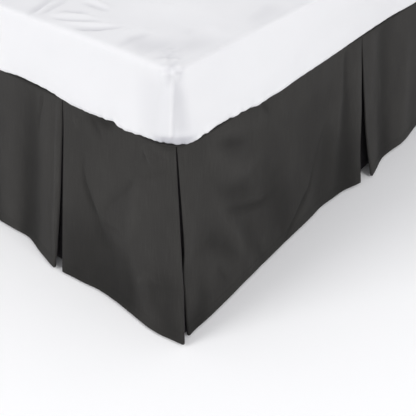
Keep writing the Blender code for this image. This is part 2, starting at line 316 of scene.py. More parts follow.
def whitePercale():
    cloth = whiteCotton
    made, nodes, links, shader = startMaterial("whitePercale", cloth["roughness"])
    shader.inputs["Sheen Weight"].default_value = cloth["sheen"]
    shader.inputs["Specular IOR Level"].default_value = cloth["specular"]
    place = nodes.new("ShaderNodeTexCoord").outputs["Object"]
    patches = stretchedNoise(nodes, links, place, cloth["patches"], 3.0)
    colour = rampNode(nodes, links, patches, (
        (0.3, tuple(value * cloth["patchShadow"] for value in cloth["colour"])),
        (0.7, cloth["colour"]),
    ))
    # painted shade and highlight along the cover's wrinkles, seams, tuck and gathers
    colour = multiplyColour(nodes, links, colour, foldTones(nodes, links, cloth))
    links.new(colour, shader.inputs["Base Color"])
    threads = stretchedNoise(nodes, links, place, 1.0, 2.0, cloth["threadsPerMetre"])
    crumple = stretchedNoise(nodes, links, place, cloth["crumple"], 4.0)
    raisedCrumple = mathNode(nodes, links, "MULTIPLY", crumple, cloth["crumpleHeight"])
    height = mathNode(nodes, links, "ADD", threads, raisedCrumple)
    addBump(nodes, links, shader, height, cloth["bump"])
    return made


baseCover = {
    "warp": (0.50, 0.485, 0.46),
    "weft": (0.60, 0.585, 0.56),
    "roughness": 0.92,
    "threadsPerMetre": (260, 260, 900),
    "patches": 4.0,
    "patchShadow": (0.92, 0.92, 0.92),
    "bump": (0.5, 0.0004),
}


def wovenBaseCover():
    cloth = baseCover
    made, nodes, links, shader = startMaterial("wovenBaseCover", cloth["roughness"])
    place = nodes.new("ShaderNodeTexCoord").outputs["Object"]
    threads = stretchedNoise(nodes, links, place, 1.0, 2.0, cloth["threadsPerMetre"])
    colour = rampNode(nodes, links, threads, ((0.35, cloth["warp"]), (0.65, cloth["weft"])))
    patches = stretchedNoise(nodes, links, place, cloth["patches"], 2.0)
    colour = mottled(nodes, links, colour, patches, cloth["patchShadow"])
    links.new(colour, shader.inputs["Base Color"])
    addBump(nodes, links, shader, threads, cloth["bump"])
    return made


glidePlastic = {
    "dark": (0.020, 0.020, 0.021),
    "light": (0.030, 0.030, 0.031),
    "roughness": 0.45,
    "grain": 420.0,
    "bump": (0.25, 0.0002),
}


def blackPlastic():
    made, nodes, links, shader = startMaterial("blackPlastic", glidePlastic["roughness"])
    place = nodes.new("ShaderNodeTexCoord").outputs["Object"]
    grain = stretchedNoise(nodes, links, place, glidePlastic["grain"], 2.0)
    colour = rampNode(nodes, links, grain, ((0.35, glidePlastic["dark"]), (0.7, glidePlastic["light"])))
    links.new(colour, shader.inputs["Base Color"])
    addBump(nodes, links, shader, grain, glidePlastic["bump"])
    return made


skirtMaterial = charcoalWeave()
coverMaterial = whitePercale()
baseMaterial = wovenBaseCover()
plasticMaterial = blackPlastic()
print("materials")


# making shared by several pieces

def deselectAll():
    if bpy.context.object and bpy.context.object.mode != "OBJECT":
        bpy.ops.object.mode_set(mode="OBJECT")
    bpy.ops.object.select_all(action="DESELECT")


def makeActive(piece):
    deselectAll()
    piece.select_set(True)
    bpy.context.view_layer.objects.active = piece


def applyModifiers(piece):
    makeActive(piece)
    for modifier in list(piece.modifiers):
        bpy.ops.object.modifier_apply(modifier=modifier.name)


def applyPlace(piece):
    makeActive(piece)
    bpy.ops.object.transform_apply(location=True, rotation=True, scale=True)


def finishPiece(piece, material, nodeNames):
    piece.data.materials.clear()
    piece.data.materials.append(material)
    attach(piece, "root")
    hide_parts(*nodeNames)


def nearestOnFold(rows, x, y):
    # distance to the fold's line, with its width and height there
    best = (1e9, 1.0, 0.0)
    for (x0, y0, width0, height0), (x1, y1, width1, height1) in zip(rows, rows[1:]):
        dx, dy = x1 - x0, y1 - y0
        t = ((x - x0) * dx + (y - y0) * dy) / (dx * dx + dy * dy)
        t = min(1.0, max(0.0, t))
        away = math.hypot(x - x0 - t * dx, y - y0 - t * dy)
        if away < best[0]:
            best = (away, width0 + t * (width1 - width0), height0 + t * (height1 - height0))
    return best


foldReach = 2.6  # in fold widths


def withReach(folds):
    # each fold with the box outside which it does nothing
    ready = []
    for rows in folds:
        reach = foldReach * max(row[2] for row in rows)
        xs = [row[0] for row in rows]
        ys = [row[1] for row in rows]
        ready.append((rows, min(xs) - reach, max(xs) + reach, min(ys) - reach, max(ys) + reach))
    return ready


def unevenness(x, y, perMetre, seed):
    # smooth noise from about -1 to 1
    return noise.noise(Vector((x * perMetre[0], y * perMetre[1], seed)))


def foldHeight(folds, x, y):
    # every fold is a soft ridge or trough along its line
    total = 0.0
    for rows, lowX, highX, lowY, highY in folds:
        if lowX < x < highX and lowY < y < highY:
            away, width, height = nearestOnFold(rows, x, y)
            total += height * math.exp(-(away / width) ** 2)
    return total


# the skirt's drops

skirt = {
    "thickness": 0.0012,
    "topHeight": 0.3794,
    "hemHeight": 0.0064,
    "fallPower": 1.12,
    "baseCorner": 0.050,
    "underLayer": 0.00295,  # each layer's distance from the base's side at the top
    "backLayer": 0.00525,
    "frontLayer": 0.00755,
    "pleatDepth": 0.070,
    "topTurn": 0.00115,
    "hemTurn": 0.0030,
    "innerTurn": 0.0016,
    "topParting": 0.0024,
    "cornerWrap": 45,
    "headWrap": 30,
    "cornerParting": 0.006,
    "pleatLean": (0.0, 0.0048),  # the edges of a pleat lean together between its top and its hem
    "cornerLean": (0.0034, 0.0),
    "leanReach": 0.050,
    "cornerHemRadius": 0.030,
    "cornerHemGap": 0.0035,
    "step": 0.0065,
    "fineStep": 0.0036,  # on the panels with the small creases
    "edgeCrowding": 0.035,  # how much closer together the stations are at a panel's ends
    "pleatSteps": 8,
    "cornerSteps": 10,
    "underSteps": 20,
    "cornerUnderSteps": 28,
    "cornerUnderBehind": 0.0021,
    "rowStep": 0.0052,
    "hemDeep": 0.022,
    "hemRows": (-0.0012, 0.0, 0.0012, 0.0060, 0.0115, 0.0170, 0.0205),  # below its stitches
    "hemThicker": 0.0005,
    "hemStitch": 0.0012,
    "wander": 0.0030,  # slow unevenness of the cloth
    "driftGrain": (9, 5),
    "fineGrain": (30, 14),
    "puckerGrain": (60, 10),
    "seamPucker": 0.0007,
    "smoothAngle": 50,
    "foldScale": 1.1,
    "pressIn": 0.31,
    # painted shade and highlight: a fold this deep gets most of its painted shade, the upper cloth is
    # painted lighter and painted shade grows towards the hem
    "foldShade": 0.006,  # a fold this deep has most of its shade
    "topShade": 0.35,
    "hemShade": 0.58,
}
turnAngles = (15, 45, 75, 105, 135, 165)
noLean = Vector((0.0, 0.0))

# hem lines: panel, along the side of the bed, how far the hem stands out from the base
# footHem is along from the bed's middle, the two others along from the bed's foot
footHem = (
    ("left", -0.520, 0.083), ("left", -0.440, 0.090), ("left", -0.330, 0.086),
    ("left", -0.240, 0.093), ("left", -0.172, 0.101),
    ("middle", -0.148, 0.098), ("middle", -0.090, 0.086), ("middle", 0.010, 0.080),
    ("middle", 0.078, 0.091), ("middle", 0.155, 0.107),
    ("right", 0.177, 0.104), ("right", 0.226, 0.099), ("right", 0.283, 0.091),
    ("right", 0.379, 0.093), ("right", 0.457, 0.096), ("right", 0.519, 0.086),
)
rightHem = (
    ("foot", -0.054, 0.072), ("foot", 0.043, 0.068), ("foot", 0.166, 0.061),
    ("foot", 0.248, 0.058), ("foot", 0.396, 0.053), ("foot", 0.480, 0.050),
    ("foot", 0.619, 0.074),
    ("middle", 0.661, 0.082), ("middle", 0.764, 0.063), ("middle", 0.880, 0.066),
    ("middle", 1.010, 0.054), ("middle", 1.130, 0.060), ("middle", 1.250, 0.078),
    ("head", 1.284, 0.080), ("head", 1.400, 0.062), ("head", 1.560, 0.056),
    ("head", 1.720, 0.064), ("head", 1.910, 0.058),
)
leftHem = (
    ("foot", -0.056, 0.072), ("foot", 0.060, 0.066), ("foot", 0.190, 0.056),
    ("foot", 0.330, 0.060), ("foot", 0.470, 0.052), ("foot", 0.617, 0.077),
    ("middle", 0.652, 0.080), ("middle", 0.790, 0.058), ("middle", 0.930, 0.064),
    ("middle", 1.090, 0.056), ("middle", 1.248, 0.074),
    ("head", 1.286, 0.079), ("head", 1.430, 0.060), ("head", 1.590, 0.064),
    ("head", 1.750, 0.055), ("head", 1.910, 0.060),
)
# how far the folded-back cloth has parted from its panel at the hem, near side and far side
pleatPartings = {
    "foot": ((0.007, 0.007), (0.008, 0.006)),
    "right": ((0.009, 0.013), (0.012, 0.011)),
    "left": ((0.011, 0.012), (0.010, 0.012)),
}

# folds in the cloth, each a row of (along, down, width, height out from the cloth) on the drop; the height
# also sets the shade and highlight painted along each fold
footFolds = withReach((
    # on the right panel, all in the photo
    ((0.215, 0.085, 0.006, 0.0), (0.212, 0.116, 0.006, -0.0026), (0.220, 0.148, 0.007, -0.0034),
     (0.233, 0.173, 0.008, -0.0042), (0.249, 0.196, 0.008, -0.0036), (0.265, 0.216, 0.006, 0.0)),
    ((0.255, 0.200, 0.008, 0.0), (0.266, 0.223, 0.011, -0.0024), (0.280, 0.248, 0.014, -0.0026),
     (0.295, 0.274, 0.012, 0.0)),
    ((0.265, 0.216, 0.005, 0.0), (0.292, 0.215, 0.005, -0.0016), (0.326, 0.210, 0.005, -0.0018),
     (0.342, 0.218, 0.005, 0.0)),
    ((0.281, 0.057, 0.034, 0.0), (0.279, 0.099, 0.034, 0.0026), (0.268, 0.146, 0.026, 0.0030),
     (0.266, 0.187, 0.010, 0.0026), (0.264, 0.201, 0.008, 0.0)),
    ((0.362, 0.082, 0.006, 0.0), (0.350, 0.099, 0.007, -0.0036), (0.331, 0.126, 0.009, -0.0020),
     (0.301, 0.160, 0.008, -0.0024), (0.272, 0.193, 0.006, 0.0)),
    ((0.366, 0.076, 0.014, 0.0), (0.367, 0.104, 0.017, 0.0036), (0.369, 0.145, 0.018, 0.0042),
     (0.361, 0.191, 0.013, 0.0038), (0.352, 0.231, 0.008, 0.0)),
    ((0.264, 0.185, 0.030, 0.0), (0.262, 0.243, 0.052, -0.0030), (0.266, 0.283, 0.066, -0.0046),
     (0.282, 0.324, 0.070, -0.0064), (0.311, 0.362, 0.066, -0.0090)),
    ((0.179, 0.190, 0.020, 0.0), (0.190, 0.268, 0.030, -0.0018), (0.204, 0.338, 0.034, -0.0030),
     (0.207, 0.371, 0.034, -0.0048)),
    ((0.340, 0.221, 0.012, 0.0), (0.352, 0.255, 0.018, -0.0024), (0.364, 0.294, 0.018, -0.0034),
     (0.380, 0.345, 0.018, -0.0044)),
    ((0.400, 0.245, 0.010, 0.0), (0.406, 0.275, 0.015, 0.0024), (0.416, 0.312, 0.018, 0.0022),
     (0.438, 0.348, 0.018, 0.0016)),
    ((0.386, 0.296, 0.006, 0.0), (0.403, 0.271, 0.007, 0.0034), (0.426, 0.260, 0.007, 0.0026),
     (0.443, 0.270, 0.006, 0.0)),
    ((0.420, 0.225, 0.040, 0.0), (0.440, 0.280, 0.058, -0.0034), (0.450, 0.330, 0.050, -0.0020),
     (0.456, 0.366, 0.050, -0.0010)),
    ((0.298, 0.215, 0.016, 0.0), (0.314, 0.255, 0.026, -0.0030), (0.328, 0.300, 0.030, -0.0028),
     (0.345, 0.350, 0.030, -0.0016)),
    ((0.432, 0.175, 0.014, 0.0), (0.434, 0.217, 0.016, -0.0016), (0.458, 0.254, 0.016, -0.0012),
     (0.470, 0.293, 0.016, 0.0)),
    ((0.471, 0.275, 0.014, 0.0), (0.474, 0.318, 0.018, -0.0024), (0.490, 0.357, 0.018, -0.0030)),
    ((0.224, 0.007, 0.008, -0.0024), (0.238, 0.018, 0.009, -0.0052), (0.252, 0.031, 0.009, -0.0044),
     (0.266, 0.046, 0.007, 0.0)),
    ((0.222, 0.003, 0.008, 0.0), (0.252, 0.005, 0.011, -0.0058), (0.278, 0.006, 0.011, -0.0070),
     (0.306, 0.004, 0.008, 0.0)),
    ((0.184, 0.018, 0.007, 0.0), (0.193, 0.029, 0.008, 0.0036), (0.196, 0.047, 0.007, 0.0)),
    ((0.370, 0.016, 0.007, 0.0), (0.383, 0.020, 0.009, 0.0052), (0.393, 0.030, 0.009, 0.0046),
     (0.400, 0.040, 0.006, 0.0)),
    ((0.390, 0.005, 0.006, 0.0), (0.406, 0.009, 0.007, 0.0046), (0.421, 0.016, 0.007, 0.0028),
     (0.430, 0.024, 0.005, 0.0)),
    ((0.371, 0.027, 0.005, 0.0), (0.379, 0.032, 0.005, -0.0024), (0.387, 0.038, 0.005, 0.0)),
    ((0.400, 0.002, 0.005, -0.0010), (0.416, 0.004, 0.005, -0.0042), (0.429, 0.007, 0.005, -0.0040),
     (0.436, 0.007, 0.005, -0.0010)),
    ((0.374, 0.077, 0.006, 0.0), (0.398, 0.063, 0.006, -0.0020), (0.420, 0.050, 0.006, -0.0020),
     (0.434, 0.043, 0.006, 0.0)),
    # on the middle panel, as far as the photo shows it
    ((0.141, 0.012, 0.007, 0.0030), (0.141, 0.087, 0.009, 0.0050), (0.144, 0.173, 0.009, 0.0046),
     (0.148, 0.275, 0.009, 0.0036), (0.154, 0.350, 0.007, 0.0010)),
    ((0.111, 0.013, 0.014, 0.0006), (0.113, 0.076, 0.015, 0.0010), (0.117, 0.186, 0.015, 0.0008),
     (0.124, 0.288, 0.014, 0.0004), (0.133, 0.355, 0.012, 0.0)),
    ((0.093, 0.002, 0.005, -0.0016), (0.085, 0.030, 0.005, -0.0030), (0.074, 0.063, 0.005, -0.0028),
     (0.070, 0.100, 0.005, 0.0)),
    ((0.057, 0.010, 0.024, -0.0032), (0.048, 0.078, 0.029, -0.0054), (0.042, 0.195, 0.033, -0.0074),
     (0.039, 0.306, 0.034, -0.0096), (0.039, 0.372, 0.036, -0.0115)),
    # beyond the photo's edge
    ((-0.020, 0.050, 0.030, 0.0), (-0.024, 0.150, 0.030, 0.0035), (-0.030, 0.370, 0.034, 0.0045)),
    ((-0.100, 0.020, 0.012, 0.0), (-0.092, 0.120, 0.016, -0.0035), (-0.090, 0.240, 0.018, -0.0045),
     (-0.096, 0.370, 0.022, -0.0060)),
    ((-0.240, 0.030, 0.014, 0.0), (-0.262, 0.140, 0.018, -0.0040), (-0.254, 0.260, 0.020, -0.0050),
     (-0.250, 0.370, 0.024, -0.0055)),
    ((-0.392, 0.080, 0.008, 0.0), (-0.360, 0.120, 0.009, -0.0036), (-0.330, 0.165, 0.009, -0.0040),
     (-0.308, 0.255, 0.008, 0.0)),
    ((-0.290, 0.240, 0.030, 0.0), (-0.310, 0.300, 0.044, -0.0045), (-0.330, 0.372, 0.050, -0.0060)),
    ((-0.400, 0.120, 0.020, 0.0), (-0.406, 0.240, 0.024, 0.0035), (-0.412, 0.372, 0.026, 0.0040)),
))
rightFolds = withReach((
    # on the panel by the foot, all in the photo
    ((-0.932, 0.010, 0.028, 0.0010), (-0.938, 0.044, 0.032, 0.0042), (-0.949, 0.106, 0.027, 0.0050),
     (-0.960, 0.165, 0.020, 0.0056), (-0.967, 0.200, 0.015, 0.0044), (-0.973, 0.240, 0.010, 0.0)),
    ((-0.945, 0.010, 0.006, 0.0020), (-0.951, 0.044, 0.007, 0.0050), (-0.960, 0.106, 0.007, 0.0050),
     (-0.970, 0.165, 0.006, 0.0034), (-0.981, 0.230, 0.006, 0.0)),
    ((-0.941, 0.236, 0.014, 0.0), (-0.945, 0.289, 0.016, -0.0030), (-0.949, 0.323, 0.020, -0.0042),
     (-0.967, 0.356, 0.026, -0.0070), (-0.985, 0.374, 0.028, -0.0080)),
    ((-0.864, 0.022, 0.010, 0.0), (-0.838, 0.032, 0.013, -0.0034), (-0.811, 0.046, 0.015, -0.0052),
     (-0.784, 0.058, 0.014, -0.0040), (-0.756, 0.066, 0.010, 0.0)),
    ((-0.857, 0.004, 0.012, 0.0), (-0.818, 0.010, 0.015, 0.0032), (-0.765, 0.025, 0.018, 0.0038),
     (-0.721, 0.036, 0.018, 0.0028), (-0.682, 0.049, 0.014, 0.0)),
    ((-0.887, 0.019, 0.012, 0.0), (-0.863, 0.044, 0.017, 0.0036), (-0.833, 0.076, 0.021, 0.0054),
     (-0.800, 0.102, 0.021, 0.0056), (-0.770, 0.114, 0.019, 0.0040), (-0.736, 0.113, 0.016, 0.0020),
     (-0.708, 0.108, 0.012, 0.0)),
    ((-0.891, 0.086, 0.014, 0.0), (-0.870, 0.111, 0.018, -0.0020), (-0.832, 0.140, 0.020, -0.0030),
     (-0.783, 0.162, 0.020, -0.0026), (-0.737, 0.178, 0.018, 0.0)),
    ((-0.870, 0.158, 0.010, 0.0), (-0.838, 0.180, 0.012, -0.0020), (-0.802, 0.196, 0.011, -0.0038),
     (-0.763, 0.212, 0.010, -0.0044), (-0.728, 0.224, 0.009, -0.0036), (-0.695, 0.226, 0.010, -0.0016),
     (-0.660, 0.214, 0.010, 0.0)),
    ((-0.780, 0.205, 0.005, 0.0), (-0.754, 0.216, 0.005, -0.0014), (-0.726, 0.224, 0.005, 0.0)),
    ((-0.888, 0.084, 0.010, 0.0), (-0.879, 0.125, 0.012, 0.0024), (-0.863, 0.168, 0.013, 0.0030),
     (-0.839, 0.217, 0.013, 0.0030), (-0.819, 0.259, 0.012, 0.0022), (-0.807, 0.292, 0.010, 0.0)),
    ((-0.909, 0.186, 0.012, 0.0), (-0.891, 0.218, 0.018, -0.0028), (-0.865, 0.249, 0.020, -0.0036),
     (-0.838, 0.282, 0.016, -0.0024), (-0.821, 0.311, 0.012, 0.0)),
    ((-0.901, 0.262, 0.005, 0.0), (-0.890, 0.289, 0.006, -0.0014), (-0.876, 0.320, 0.006, -0.0014),
     (-0.863, 0.344, 0.005, 0.0)),
    ((-0.718, 0.136, 0.022, 0.0), (-0.687, 0.189, 0.034, -0.0026), (-0.663, 0.253, 0.036, -0.0030),
     (-0.652, 0.313, 0.030, -0.0024), (-0.655, 0.349, 0.020, -0.0014)),
    ((-0.804, 0.211, 0.014, 0.0), (-0.790, 0.250, 0.022, -0.0024), (-0.768, 0.300, 0.020, -0.0026),
     (-0.744, 0.352, 0.014, -0.0010)),
    ((-0.453, 0.147, 0.006, 0.0), (-0.475, 0.168, 0.006, -0.0008), (-0.497, 0.204, 0.006, -0.0014),
     (-0.520, 0.251, 0.005, -0.0020), (-0.539, 0.285, 0.005, -0.0036), (-0.571, 0.308, 0.005, -0.0044),
     (-0.602, 0.331, 0.005, -0.0042), (-0.634, 0.351, 0.006, -0.0036), (-0.657, 0.371, 0.006, -0.0020)),
    ((-0.502, 0.282, 0.010, 0.0), (-0.526, 0.308, 0.012, 0.0008), (-0.563, 0.332, 0.012, 0.0010),
     (-0.595, 0.353, 0.010, 0.0)),
    ((-0.460, 0.150, 0.030, 0.0), (-0.458, 0.214, 0.042, -0.0030), (-0.466, 0.258, 0.044, -0.0036),
     (-0.478, 0.309, 0.040, -0.0034), (-0.488, 0.361, 0.032, -0.0026)),
    ((-0.387, 0.017, 0.009, -0.0034), (-0.385, 0.055, 0.010, -0.0056), (-0.382, 0.110, 0.014, -0.0070),
     (-0.382, 0.166, 0.019, -0.0080), (-0.383, 0.223, 0.025, -0.0092), (-0.385, 0.282, 0.030, -0.0106),
     (-0.389, 0.336, 0.032, -0.0120), (-0.395, 0.374, 0.033, -0.0135)),
    ((-0.343, 0.013, 0.018, 0.0018), (-0.341, 0.061, 0.018, 0.0044), (-0.339, 0.116, 0.016, 0.0044),
     (-0.336, 0.168, 0.013, 0.0036), (-0.334, 0.222, 0.010, 0.0022), (-0.333, 0.270, 0.008, 0.0)),
    ((-0.610, 0.065, 0.040, 0.0), (-0.530, 0.080, 0.062, -0.0020), (-0.450, 0.095, 0.056, -0.0022),
     (-0.402, 0.105, 0.026, 0.0)),
    ((-0.920, 0.150, 0.030, 0.0), (-0.914, 0.210, 0.040, -0.0036), (-0.905, 0.270, 0.034, 0.0)),
    ((-0.880, 0.120, 0.100, 0.0), (-0.800, 0.160, 0.140, -0.0022), (-0.640, 0.190, 0.160, -0.0032),
     (-0.470, 0.190, 0.110, -0.0026), (-0.405, 0.200, 0.030, 0.0)),
    ((-0.706, 0.006, 0.006, -0.0030), (-0.694, 0.020, 0.006, -0.0040), (-0.685, 0.034, 0.006, -0.0018),
     (-0.679, 0.046, 0.005, 0.0)),
    ((-0.653, 0.030, 0.008, 0.0), (-0.633, 0.056, 0.008, 0.0018), (-0.612, 0.079, 0.008, 0.0)),
    ((-0.757, 0.280, 0.008, 0.0), (-0.739, 0.313, 0.010, 0.0018), (-0.728, 0.347, 0.010, 0.0)),
    ((-0.573, 0.036, 0.018, 0.0), (-0.487, 0.037, 0.020, 0.0016), (-0.428, 0.040, 0.018, 0.0)),
    # past the first pleat, as far as the photo shows it
    ((-0.273, 0.012, 0.020, 0.0018), (-0.271, 0.095, 0.020, 0.0018), (-0.273, 0.171, 0.018, 0.0010),
     (-0.271, 0.252, 0.014, 0.0)),
    ((-0.207, 0.016, 0.030, -0.0044), (-0.200, 0.099, 0.034, -0.0056), (-0.196, 0.195, 0.037, -0.0064),
     (-0.194, 0.282, 0.038, -0.0074), (-0.195, 0.356, 0.038, -0.0086)),
    ((-0.221, 0.114, 0.005, 0.0), (-0.212, 0.170, 0.005, 0.0016), (-0.210, 0.225, 0.005, 0.0)),
    # beyond the photo's edge
    ((-0.080, 0.020, 0.026, 0.0), (-0.084, 0.140, 0.030, 0.0040), (-0.092, 0.372, 0.034, 0.0045)),
    ((0.060, 0.040, 0.014, 0.0), (0.048, 0.150, 0.018, -0.0045), (0.050, 0.260, 0.020, -0.0055),
     (0.060, 0.372, 0.024, -0.0065)),
    ((0.200, 0.020, 0.016, -0.0010), (0.206, 0.180, 0.020, -0.0040), (0.216, 0.372, 0.026, -0.0060)),
    ((0.420, 0.012, 0.010, -0.0015), (0.424, 0.120, 0.014, -0.0045), (0.430, 0.250, 0.018, -0.0055),
     (0.440, 0.372, 0.022, -0.0065)),
    ((0.556, 0.030, 0.018, 0.0), (0.590, 0.130, 0.024, -0.0040), (0.602, 0.230, 0.024, -0.0050),
     (0.588, 0.350, 0.020, 0.0)),
    ((0.760, 0.060, 0.026, 0.0), (0.756, 0.200, 0.030, 0.0036), (0.748, 0.372, 0.034, 0.0045)),
    ((0.860, 0.020, 0.014, 0.0), (0.866, 0.160, 0.018, -0.0038), (0.858, 0.372, 0.024, -0.0055)),
))
# the left side is away from the photo's camera
leftFolds = withReach((
    ((-0.884, 0.050, 0.014, 0.0), (-0.864, 0.150, 0.020, -0.0038), (-0.866, 0.260, 0.022, -0.0045),
     (-0.880, 0.372, 0.026, -0.0060)),
    ((-0.742, 0.020, 0.012, 0.0), (-0.710, 0.100, 0.018, -0.0040), (-0.704, 0.180, 0.018, -0.0034),
     (-0.722, 0.270, 0.014, 0.0)),
    ((-0.620, 0.060, 0.026, 0.0), (-0.616, 0.180, 0.030, 0.0036), (-0.610, 0.372, 0.034, 0.0045)),
    ((-0.560, 0.190, 0.006, 0.0), (-0.530, 0.240, 0.007, -0.0030), (-0.506, 0.310, 0.008, -0.0040),
     (-0.500, 0.372, 0.008, -0.0020)),
    ((-0.430, 0.012, 0.008, -0.0020), (-0.438, 0.140, 0.012, -0.0045), (-0.434, 0.260, 0.018, -0.0055),
     (-0.430, 0.372, 0.022, -0.0075)),
    ((-0.215, 0.014, 0.010, -0.0015), (-0.206, 0.180, 0.016, -0.0040), (-0.210, 0.372, 0.024, -0.0060)),
    ((-0.060, 0.050, 0.026, 0.0), (-0.050, 0.180, 0.030, 0.0036), (-0.040, 0.372, 0.034, 0.0045)),
    ((0.110, 0.020, 0.014, 0.0), (0.124, 0.150, 0.018, -0.0038), (0.122, 0.260, 0.020, -0.0045),
     (0.110, 0.372, 0.024, -0.0060)),
    ((0.400, 0.012, 0.010, -0.0015), (0.408, 0.160, 0.016, -0.0042), (0.400, 0.372, 0.024, -0.0065)),
    ((0.650, 0.050, 0.018, 0.0), (0.624, 0.150, 0.024, -0.0036), (0.622, 0.240, 0.024, -0.0040),
     (0.640, 0.350, 0.018, 0.0)),
    ((0.780, 0.060, 0.026, 0.0), (0.776, 0.200, 0.028, 0.0034), (0.770, 0.372, 0.032, 0.0040)),
))


def straightHalf(half):
    return half - skirt["baseCorner"]


def cornerRun(degrees):
    return math.radians(degrees) * (skirt["baseCorner"] + skirt["backLayer"])


def topPoint(along, out, half):
    past = abs(along) - straightHalf(half)
    if past <= 0:
        return Vector((along, out))
    radius = skirt["baseCorner"] + out
    angle = past / (skirt["baseCorner"] + skirt["backLayer"])
    reach = straightHalf(half) + radius * math.sin(angle)
    return Vector((math.copysign(reach, along), radius * math.cos(angle) - skirt["baseCorner"]))


def hemOut(rows, along):
    # smooth curve through the hem's measured points
    last = len(rows) - 1
    index = sum(along >= row[0] for row in rows[1:last])
    (x0, y0), (x1, y1) = rows[index], rows[index + 1]
    before = rows[index - 1] if index > 0 else rows[0]
    after = rows[index + 2] if index + 2 <= last else rows[last]
    span = x1 - x0
    slope0 = span * (y1 - before[1]) / (x1 - before[0])
    slope1 = span * (after[1] - y0) / (after[0] - x0)
    t = (along - x0) / span
    return (
        (2 * t**3 - 3 * t**2 + 1) * y0 + (t**3 - 2 * t**2 + t) * slope0
        + (3 * t**2 - 2 * t**3) * y1 + (t**3 - t**2) * slope1
    )


def cutPanels(table, shift, ends, half, finePanels):
    panels = []
    names = list(dict.fromkeys(row[0] for row in table))
    for name, start, stop in zip(names, ends, ends[1:]):
        rows = [(along + shift, out) for panel, along, out in table if panel == name]
        panels.append({
            "rows": rows,
            "half": half,
            "step": skirt["fineStep"] if name in finePanels else skirt["step"],
            "top": {-1: start + skirt["topParting"] / 2, 1: stop - skirt["topParting"] / 2},
            "hem": {-1: rows[0][0], 1: rows[-1][0]},
            "lean": {
                -1: skirt["cornerLean" if name == names[0] else "pleatLean"],
                1: skirt["cornerLean" if name == names[-1] else "pleatLean"],
            },
        })
    return panels


def leanOf(panel, end, back):
    # how far the cloth leans towards the pleat at this end, this far back from its edge
    near = 1 - smoothStep(0.0, skirt["leanReach"], back)
    return end * near * Vector(panel["lean"][end])


# a station is its top point, its hem point, how far inside a pleat it is, and its lean

def frontStations(panel, turned):
    topFrom, topTo = (panel["top"][end] - end * skirt["topTurn"] * (end in turned) for end in (-1, 1))
    hemFrom, hemTo = (panel["hem"][end] - end * skirt["hemTurn"] * (end in turned) for end in (-1, 1))
    count = math.ceil((topTo - topFrom) / panel["step"])
    stations = []
    for step in range(count + 1):
        part = step / count
        part -= skirt["edgeCrowding"] * math.sin(2 * math.pi * part)
        top = topFrom + part * (topTo - topFrom)
        hem = hemFrom + part * (hemTo - hemFrom)
        point = topPoint(top, skirt["frontLayer"], panel["half"])
        lean = noLean.copy()
        if -1 in turned:
            lean += leanOf(panel, -1, top - topFrom)
        if 1 in turned:
            lean += leanOf(panel, 1, topTo - top)
        stations.append((point, Vector((hem, hemOut(panel["rows"], hem))), 0.0, lean))
    return stations


def foldedBack(panel, end, parting, steps=skirt["pleatSteps"]):
    topTip = panel["top"][end] - end * skirt["topTurn"]
    hemTip = panel["hem"][end] - end * skirt["hemTurn"]
    tipOut = hemOut(panel["rows"], hemTip)
    middle = (skirt["frontLayer"] + skirt["backLayer"]) / 2
    stations = []
    for degrees in turnAngles:
        over = end * math.sin(math.radians(degrees))
        down = math.cos(math.radians(degrees))
        top = topPoint(topTip + skirt["topTurn"] * over, middle + skirt["topTurn"] * down, panel["half"])
        hem = Vector((hemTip + skirt["hemTurn"] * over, tipOut - skirt["hemTurn"] * (1 - down)))
        stations.append((top, hem, smoothStep(60, 150, degrees), leanOf(panel, end, 0.0)))
    for step in range(steps + 1):
        back = skirt["pleatDepth"] * step / steps
        along = hemTip - end * back
        gap = 2 * skirt["hemTurn"] + parting * step / steps
        top = topPoint(topTip - end * back, skirt["backLayer"], panel["half"])
        hem = Vector((along, hemOut(panel["rows"], along) - gap))
        stations.append((top, hem, 1.0, leanOf(panel, end, back)))
    return stations


def innerTurn(panel, end, folded):
    hem = folded[-1][1]
    along = panel["top"][end] - end * (skirt["topTurn"] + skirt["pleatDepth"])
    middle = (skirt["backLayer"] + skirt["underLayer"]) / 2
    stations = []
    for degrees in turnAngles:
        over = -end * math.sin(math.radians(degrees))
        down = math.cos(math.radians(degrees))
        top = topPoint(along + skirt["topTurn"] * over, middle + skirt["topTurn"] * down, panel["half"])
        stations.append((top, hem + skirt["innerTurn"] * Vector((over, down - 1)), 1.0, noLean))
    return stations


def invertedPleat(nearPanel, farPanel, partings):
    nearFold = foldedBack(nearPanel, 1, partings[0])
    farFold = foldedBack(farPanel, -1, partings[1])
    nearTurn = innerTurn(nearPanel, 1, nearFold)
    farTurn = innerTurn(farPanel, -1, farFold)
    inward = Vector((0.0, -2 * skirt["innerTurn"]))
    deep = skirt["topTurn"] + skirt["pleatDepth"]
    topFrom = nearPanel["top"][1] - deep
    topTo = farPanel["top"][-1] + deep
    hemFrom = nearFold[-1][1] + inward
    hemTo = farFold[-1][1] + inward
    underlay = []
    for step in range(skirt["underSteps"] + 1):
        part = step / skirt["underSteps"]
        top = topPoint(topFrom + part * (topTo - topFrom), skirt["underLayer"], nearPanel["half"])
        underlay.append((top, hemFrom.lerp(hemTo, part), 1.0, noLean))
    return nearFold + nearTurn + underlay + farTurn[::-1] + farFold[::-1]


def dropStations(side, panels, corners):
    stations = []
    if -1 in corners:
        stations += foldedBack(panels[0], -1, skirt["cornerParting"], skirt["cornerSteps"])[::-1]
    for number, panel in enumerate(panels):
        turned = set(corners)
        if number > 0:
            turned.add(-1)
        if number < len(panels) - 1:
            turned.add(1)
        stations += frontStations(panel, turned)
        if number < len(panels) - 1:
            stations += invertedPleat(panel, panels[number + 1], pleatPartings[side][number])
    if 1 in corners:
        stations += foldedBack(panels[-1], 1, skirt["cornerParting"], skirt["cornerSteps"])
    return stations


